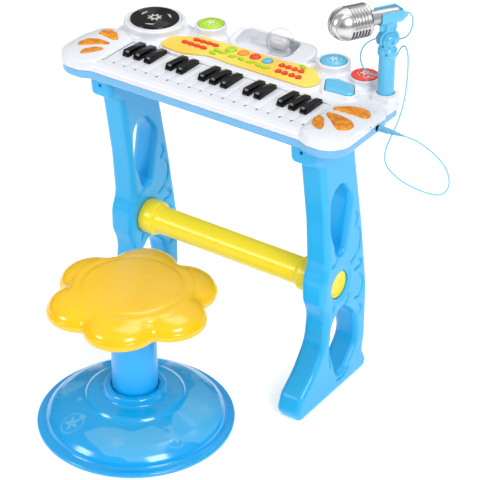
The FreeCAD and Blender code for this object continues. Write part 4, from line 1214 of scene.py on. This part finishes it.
class TOY_OT_post(Piece, bpy.types.Operator):
    """Microphone post with its ball fork, and the tilting cradle"""

    bl_idname = "toy.post"
    bl_label = "Post and cradle"

    def build(self, sizes, colours):
        blue = moulded("post_blue", colours.post, 0.3, 0.05, 0.25, 0.05)
        tilt = joint("mic_tilt")
        side = Vector(tilt["axis"])
        pivot = Vector(tilt["pos_m"]) / MM
        turn = math.atan2(-side.x, side.y)
        step = sizes.fine_step
        base = node_box("mic_post")[0][2]
        low = np.array((-14.5, -14.5, base - 2 - pivot.z))
        x, y, z = axes(low, (14.5, 14.5, 14.5), step)
        foot = base - pivot.z
        screw_height = -17.5
        stem_radius = 10.9 - 0.004 * (z - foot)
        stem = prism(np.sqrt(x * x + y * y) - stem_radius, z, foot, -8, 1.0)
        collar = prism(np.sqrt(x * x + y * y) - 12.4, z, -21.5, -12.5, 2.0)
        ball = np.sqrt(x * x + y * y + z * z) - 12.9
        body = join(join(stem, collar, 3), ball, 2.5)
        body = carve(body, brick(x, y, z, (-30, -6.0, -8.2), (30, 6.0, 30)), 0.8)
        body = carve(body, np.sqrt(x * x + z * z) - 2.3)
        ring = np.maximum(np.abs(np.sqrt(x * x + z * z) - 8.6) - 0.5, np.abs(np.abs(y) - 9.4) - 0.7)
        body = carve(body, ring, 0.5)
        body = carve(body, np.maximum(circle(x, z, 7.4, screw_height, 1.7), 8.6 - np.abs(y)), 0.4)
        motif = self.notes(x, z, foot)
        body = join(body, np.maximum(motif, np.abs(np.sqrt(x * x + y * y) - 11.0) - 0.25), 0.2)
        place = Matrix.Translation(pivot) @ Matrix.Rotation(turn, 4, "Z")
        post = skin("microphone_post", body, low, step, blue, place)
        settle(post, "root", "post_blue", "mic_post")
        steel = screw_steel()
        for hand in (-1, 1):
            spot = place @ Matrix.Translation((7.4, hand * 9.4, screw_height))
            spot = spot @ Matrix.Rotation(-hand * math.radians(90), 4, "X")
            settle(cross_screw("post_screw_%d" % hand, spot, steel, 1.5), "root", "speaker_dark")
        self.cradle(sizes, blue, place)
        ring_place = Matrix.Translation((pivot.x, pivot.y, DECK_TOP + 9.4))
        ring = [(11.5, 0), (13.6, 0), (13.6, 0.6), (13.0, 1.0), (11.8, 1.0), (11.5, 0.6)]
        white = moulded("lip_white", colours.deck, 0.3)
        lip = lathe("post_socket_lip", ring + ring[:1], ring_place, white, 72, 0.2)
        settle(lip, "root", "deck_white")

    def notes(self, x, z, foot):
        """Two small raised note shapes on the post's side."""
        marks = np.inf
        for height in (foot + 40, foot + 52):
            head = np.sqrt(((x + 1) / 1.6) ** 2 + ((z - height) / 1.2) ** 2) * 1.2 - 1.2
            stem = np.maximum(np.abs(x - 0.9) - 0.3, np.abs(z - height - 2.6) - 2.6)
            marks = np.minimum(marks, np.minimum(head, stem))
        return marks

    def cradle(self, sizes, blue, place):
        """Tongue and U clip, in the tilt's own frame: X along the microphone, Y across it."""
        step = sizes.fine_step
        low = np.array((-26.0, -19.0, -17.0))
        x, y, z = axes(low, (17, 16, 43), step)
        wheel = np.sqrt(x * x + z * z)
        teeth = 0.45 * np.cos(np.arctan2(z, x) * 36)
        tongue = prism(wheel - 14.2 - teeth, y, -5.5, 5.5, 1.0)
        tongue = np.maximum(tongue, -z - 6)
        neck = brick(x, y, z, (-5.4, -5.5, 0), (5.4, 5.5, 22), 1.0)
        body = join(tongue, neck, 2.0)
        bore = 9.7
        height = z - CLIP_RISE
        reach = np.sqrt(y * y + np.minimum(height, 0) ** 2)
        taper = np.clip((-x - 15) / 9, 0, 1)
        wall = np.abs(reach - bore - 1.15 + taper * 5.0) - 1.15
        wall = np.maximum(wall, np.maximum(x - 15, -x - 24))
        wall = np.maximum(wall, height - 7.6 + taper * 7)
        body = join(body, wall, 2.0)
        body = carve(body, np.maximum(reach - bore + taper * 5.0, np.abs(x) - 30))
        gusset = brick(x, np.abs(y), z, (-12, -1.6, 12), (12, 1.6, 24), 0.8)
        body = join(body, carve(gusset, reach - bore), 2.5)
        pin = prism(wheel - 1.95, y, -15.0, 12.0, 0.4)
        wing = np.maximum(np.abs(x * 0.5 + z * 0.86) - 1.4, np.abs(y + 15.5) - 2.4)
        wing = np.maximum(wing, wheel - 8.5)
        body = join(join(body, pin), join(wing, prism(wheel - 3.6, y, -18, -13.2, 0.6)), 0.8)
        thing = skin("microphone_cradle", body, low, step, blue, place)
        settle(thing, "mic_cradle", "post_blue", "mic_cradle")


class TOY_OT_stool(Piece, bpy.types.Operator):
    """Bell-shaped foot, post and flower seat of the stool"""

    bl_idname = "toy.stool"
    bl_label = "Stool"

    def build(self, sizes, colours):
        low_box, high_box, place = standing("stool_base")
        rim = (high_box[0] - low_box[0]) / 2 - 0.2
        high = high_box[2]
        bell_curve = [(6, 0.0), (0, 0.0), (0, 4.5), (2.5, 6.4), (9, 6.8), (11.5, 8.8), (13.5, 14), (20, 21),
                      (32, 28), (48, 34), (61, 38.5), (65.5, 41), (68, 44.4), (71, 46), (86, 47.2),
                      (89, 49.2), (91.5, 56.2), (93.5, high - 0.1), (99, high - 0.1), (101, high - 1.5),
                      (101, 30), (60, 28), (20, 12), (6, 3)]
        profile = [(rim - inset, height) for inset, height in bell_curve]
        print_finish = self.foot_finish(colours, middle("stool_base"), rim)
        foot = lathe("stool_foot", profile + profile[:1], place, print_finish, 160, 2.2)
        settle(foot, "stool", "stool_blue", "stool_base")
        post_low, post_high = node_box("stool_post")
        radius = (post_high[0] - post_low[0]) / 2 - 0.3
        seat_low, seat_high = node_box("stool_seat")
        stem_profile = [(radius - 3, 31), (radius - 0.6, 31), (radius, 60), (radius - 0.3, seat_low[2] + 0.5),
                        (radius - 3, seat_low[2] + 0.5)]
        stem = lathe("stool_stem", stem_profile + stem_profile[:1], place,
                     moulded("stool_stem_blue", shade(colours.stool, 1.05), 0.3, 0.04, 0.3, 0.05), 96, 0.4)
        settle(stem, "stool", "stool_blue", "stool_post")
        self.seat(sizes, colours, seat_low, seat_high)

    def foot_finish(self, colours, centre, rim):
        """Gloss blue with paler printed blobs, a star and dots round the bell."""
        finish = moulded("stool_blue", colours.stool, 0.18, 0.03, 0.4, 0.04)
        reach, angle = finish.polar(centre)
        drips = (finish.noise(14.0, 1.0, 0.3) - (reach - 96.0).math("ABSOLUTE") * 0.006).smooth(0.47, 0.49)
        cell = (angle * 1.2732).math("FRACT") - 0.5
        side = cell * reach * 0.785
        lift = reach - 97.0
        spread = (side ** 2.0 + lift ** 2.0) ** 0.5
        turn = lift.math("ARCTAN2", side)
        star = 1.0 - (spread - 7.5 - (turn * 5.0).math("COSINE") * 3.0).smooth(-0.4, 0.4)
        ring = 1.0 - ((spread - 15.0).math("ABSOLUTE") - 1.5).smooth(-0.3, 0.3)
        dots = 1.0 - finish.cells(30.0).smooth(0.13, 0.15)
        area = reach.smooth(rim - 64, rim - 63) * (1.0 - reach.smooth(rim - 16, rim - 15))
        mark = (drips * 0.55).largest(star * 0.8).largest(ring * 0.4).largest(dots * 0.7) * area
        finish.feed("Base Color", finish.tint(colours.stool, linear(104, 192, 238), mark * 0.9))
        return finish

    def seat(self, sizes, colours, low_box, high_box):
        step = sizes.leg_step
        centre = (low_box + high_box) / 2
        radius = (high_box[1] - low_box[1]) / 2 - 0.3
        base = low_box[2]
        top = high_box[2]
        low = np.array((centre[0] - radius - 5, centre[1] - radius - 5, base - 3))
        x, y, z = axes(low, (centre[0] + radius + 5, centre[1] + radius + 5, top + 3), step)
        body = prism(circle(x, y, centre[0], centre[1], radius * 0.62), z, base, top - 4, 6)
        for n in range(6):
            angle = math.radians(60 * n - 6)
            spot = (centre[0] + radius * 0.58 * math.cos(angle), centre[1] + radius * 0.58 * math.sin(angle))
            puff = (circle(x, y, *spot, 0) / (radius * 0.42)) ** 2.6
            puff = (puff + (np.abs(z - base - 4) / (top - base - 7)) ** 2.6) ** (1 / 2.6) * 20 - 20
            flare = 1.6 * np.clip((base + 12 - z) / 12, 0, 1) ** 2
            wall = prism(circle(x, y, *spot, radius * 0.42 + flare), z, base, base + 9, 2.0)
            petal = join(clip(puff, base + 4 - z), wall, 3)
            body = join(body, petal, 5)
        heart = circle(x, y, centre[0], centre[1], 0)
        crown = ellipsoid(x, y, z, (centre[0], centre[1], top - 12), (radius * 0.80, radius * 0.80, 12.0))
        disc = clip(prism(heart - radius * 0.705, z, base + 8, top - 1, 5.0), crown, 2)
        body = join(body, disc, 4)
        body = carve(body, prism(np.abs(heart - radius * 0.61) - 2.4, z, top - 1.6, ABOVE, 0.8), 4.0)
        body = join(body, self.star(x, y, z, centre, top - 1.2), 1.0)
        body = carve(body, prism(np.abs(heart - radius * 0.32) - radius * 0.18, z, 0, base + 14))
        body = clip(body, z - top)
        yellow = moulded("seat_yellow", colours.seat, 0.22, 0.03, 0.4, 0.04, 0.15)
        settle(skin("flower_seat", body, low, step, yellow), "stool", "seat_yellow", "stool_seat")

    def star(self, x, y, z, centre, top):
        """Faint raised outline of a rounded star in the middle of the seat."""
        across, along = x - centre[0], y - centre[1]
        reach = np.sqrt(across ** 2 + along ** 2)
        angle = np.arctan2(along, across)
        edge = 30 + 7 * np.cos(5 * angle)
        line = np.abs(reach - edge) - 1.6
        return np.maximum(line * 0.8, np.abs(z - top + 1.4) - 1.3)


class TOY_OT_inside(Piece, bpy.types.Operator):
    """Finishes of the pieces inside the housings"""

    bl_idname = "toy.inside"
    bl_label = "Inside pieces"

    def build(self, sizes, colours):
        board = Finish("board_green", Roughness=0.4)
        traces = board.cells(260.0, "DISTANCE_TO_EDGE").smooth(0.02, 0.06)
        board.feed("Base Color", board.tint((0.03, 0.22, 0.10), (0.012, 0.10, 0.05), traces))
        cone = speckled("speaker_dark", (0.02, 0.02, 0.022), (0.05, 0.05, 0.05), 700.0, Roughness=0.8)
        for node, finish in (("circuit_board", board), ("speaker", cone)):
            slots = frame["nodes"][node].material_slots
            for slot in slots:
                slot.material = finish.material


class TOY_OT_stage(Piece, bpy.types.Operator):
    """Pale floor, soft studio lights and world light"""

    bl_idname = "toy.stage"
    bl_label = "Stage"

    def build(self, sizes, colours):
        mesh = bpy.data.meshes.new("studio_floor")
        reach = 6.0
        mesh.from_pydata([(-reach, -reach, 0), (reach, -reach, 0), (reach, reach, 0), (-reach, reach, 0)], [],
                         [(0, 1, 2, 3)])
        paper = speckled("floor_paper", (0.84, 0.84, 0.84), (0.88, 0.88, 0.88), 2.0, Roughness=0.7,
                         Emission_Color=(1.0, 1.0, 1.0, 1.0), Emission_Strength=0.42)
        floor = link("studio_floor", mesh, paper)
        for name, place, size, power in (("right_light", (2.2, -1.1, 2.0), 1.1, 46.0),
                                         ("left_light", (-1.5, -2.3, 1.6), 0.9, 26.0),
                                         ("top_light", (0.1, 0.9, 2.4), 1.6, 22.0)):
            data = bpy.data.lights.new(name, "AREA")
            data.size = size
            data.energy = power
            lamp = bpy.data.objects.new(name, data)
            lamp.location = place
            lamp.rotation_euler = (Vector((0, 0, 0.25)) - Vector(place)).to_track_quat("-Z", "Y").to_euler()
            bpy.context.scene.collection.objects.link(lamp)
        world = bpy.data.worlds.new("studio_world")
        world.use_nodes = True
        sky = Graph(world.node_tree)
        facing = sky.node("ShaderNodeTexCoord", {}, {})
        height = sky.node("ShaderNodeSeparateXYZ", {}, {"Vector": facing}, "Z")
        dim = sky.node("ShaderNodeBackground", {}, {"Strength": 0.16})
        bright = sky.node("ShaderNodeBackground", {}, {"Color": (1.0, 1.0, 1.0, 1.0), "Strength": 0.58})
        blend = sky.node("ShaderNodeMixShader", {}, {0: height.smooth(0.05, 0.75), 1: dim, 2: bright})
        out = world.node_tree.nodes["World Output"]
        world.node_tree.links.new(blend.socket, out.inputs["Surface"])
        bpy.context.scene.world = world
        bpy.context.scene.view_settings.view_transform = "Standard"


OPERATORS = [TOY_OT_camera, TOY_OT_cord, TOY_OT_stage, TOY_OT_deck, TOY_OT_tray, TOY_OT_keys,
             TOY_OT_panel, TOY_OT_pads, TOY_OT_lights, TOY_OT_legs, TOY_OT_microphone, TOY_OT_post,
             TOY_OT_stool, TOY_OT_inside]


class TOY_PT_pieces(bpy.types.Panel):
    """List of the toy keyboard's pieces, sizes and colours"""

    bl_idname = "TOY_PT_pieces"
    bl_label = "Toy Keyboard"
    bl_space_type = "VIEW_3D"
    bl_region_type = "UI"
    bl_category = "Toy Keyboard"

    def draw(self, context):
        layout = self.layout
        for operator in OPERATORS:
            layout.operator(operator.bl_idname)
        for group in (context.scene.toy_sizes, context.scene.toy_colours):
            box = layout.box()
            for name in group.__annotations__:
                box.prop(group, name)


CLASSES = [ToySizes, ToyColours] + OPERATORS + [TOY_PT_pieces]


def register():
    for cls in CLASSES:
        bpy.utils.register_class(cls)
    bpy.types.Scene.toy_sizes = bpy.props.PointerProperty(type=ToySizes)
    bpy.types.Scene.toy_colours = bpy.props.PointerProperty(type=ToyColours)


def unregister():
    del bpy.types.Scene.toy_colours
    del bpy.types.Scene.toy_sizes
    for cls in reversed(CLASSES):
        bpy.utils.unregister_class(cls)


def main():
    register()
    for operator in OPERATORS:
        group, name = operator.bl_idname.split(".")
        getattr(getattr(bpy.ops, group), name)()


if __name__ == "__main__":
    main()
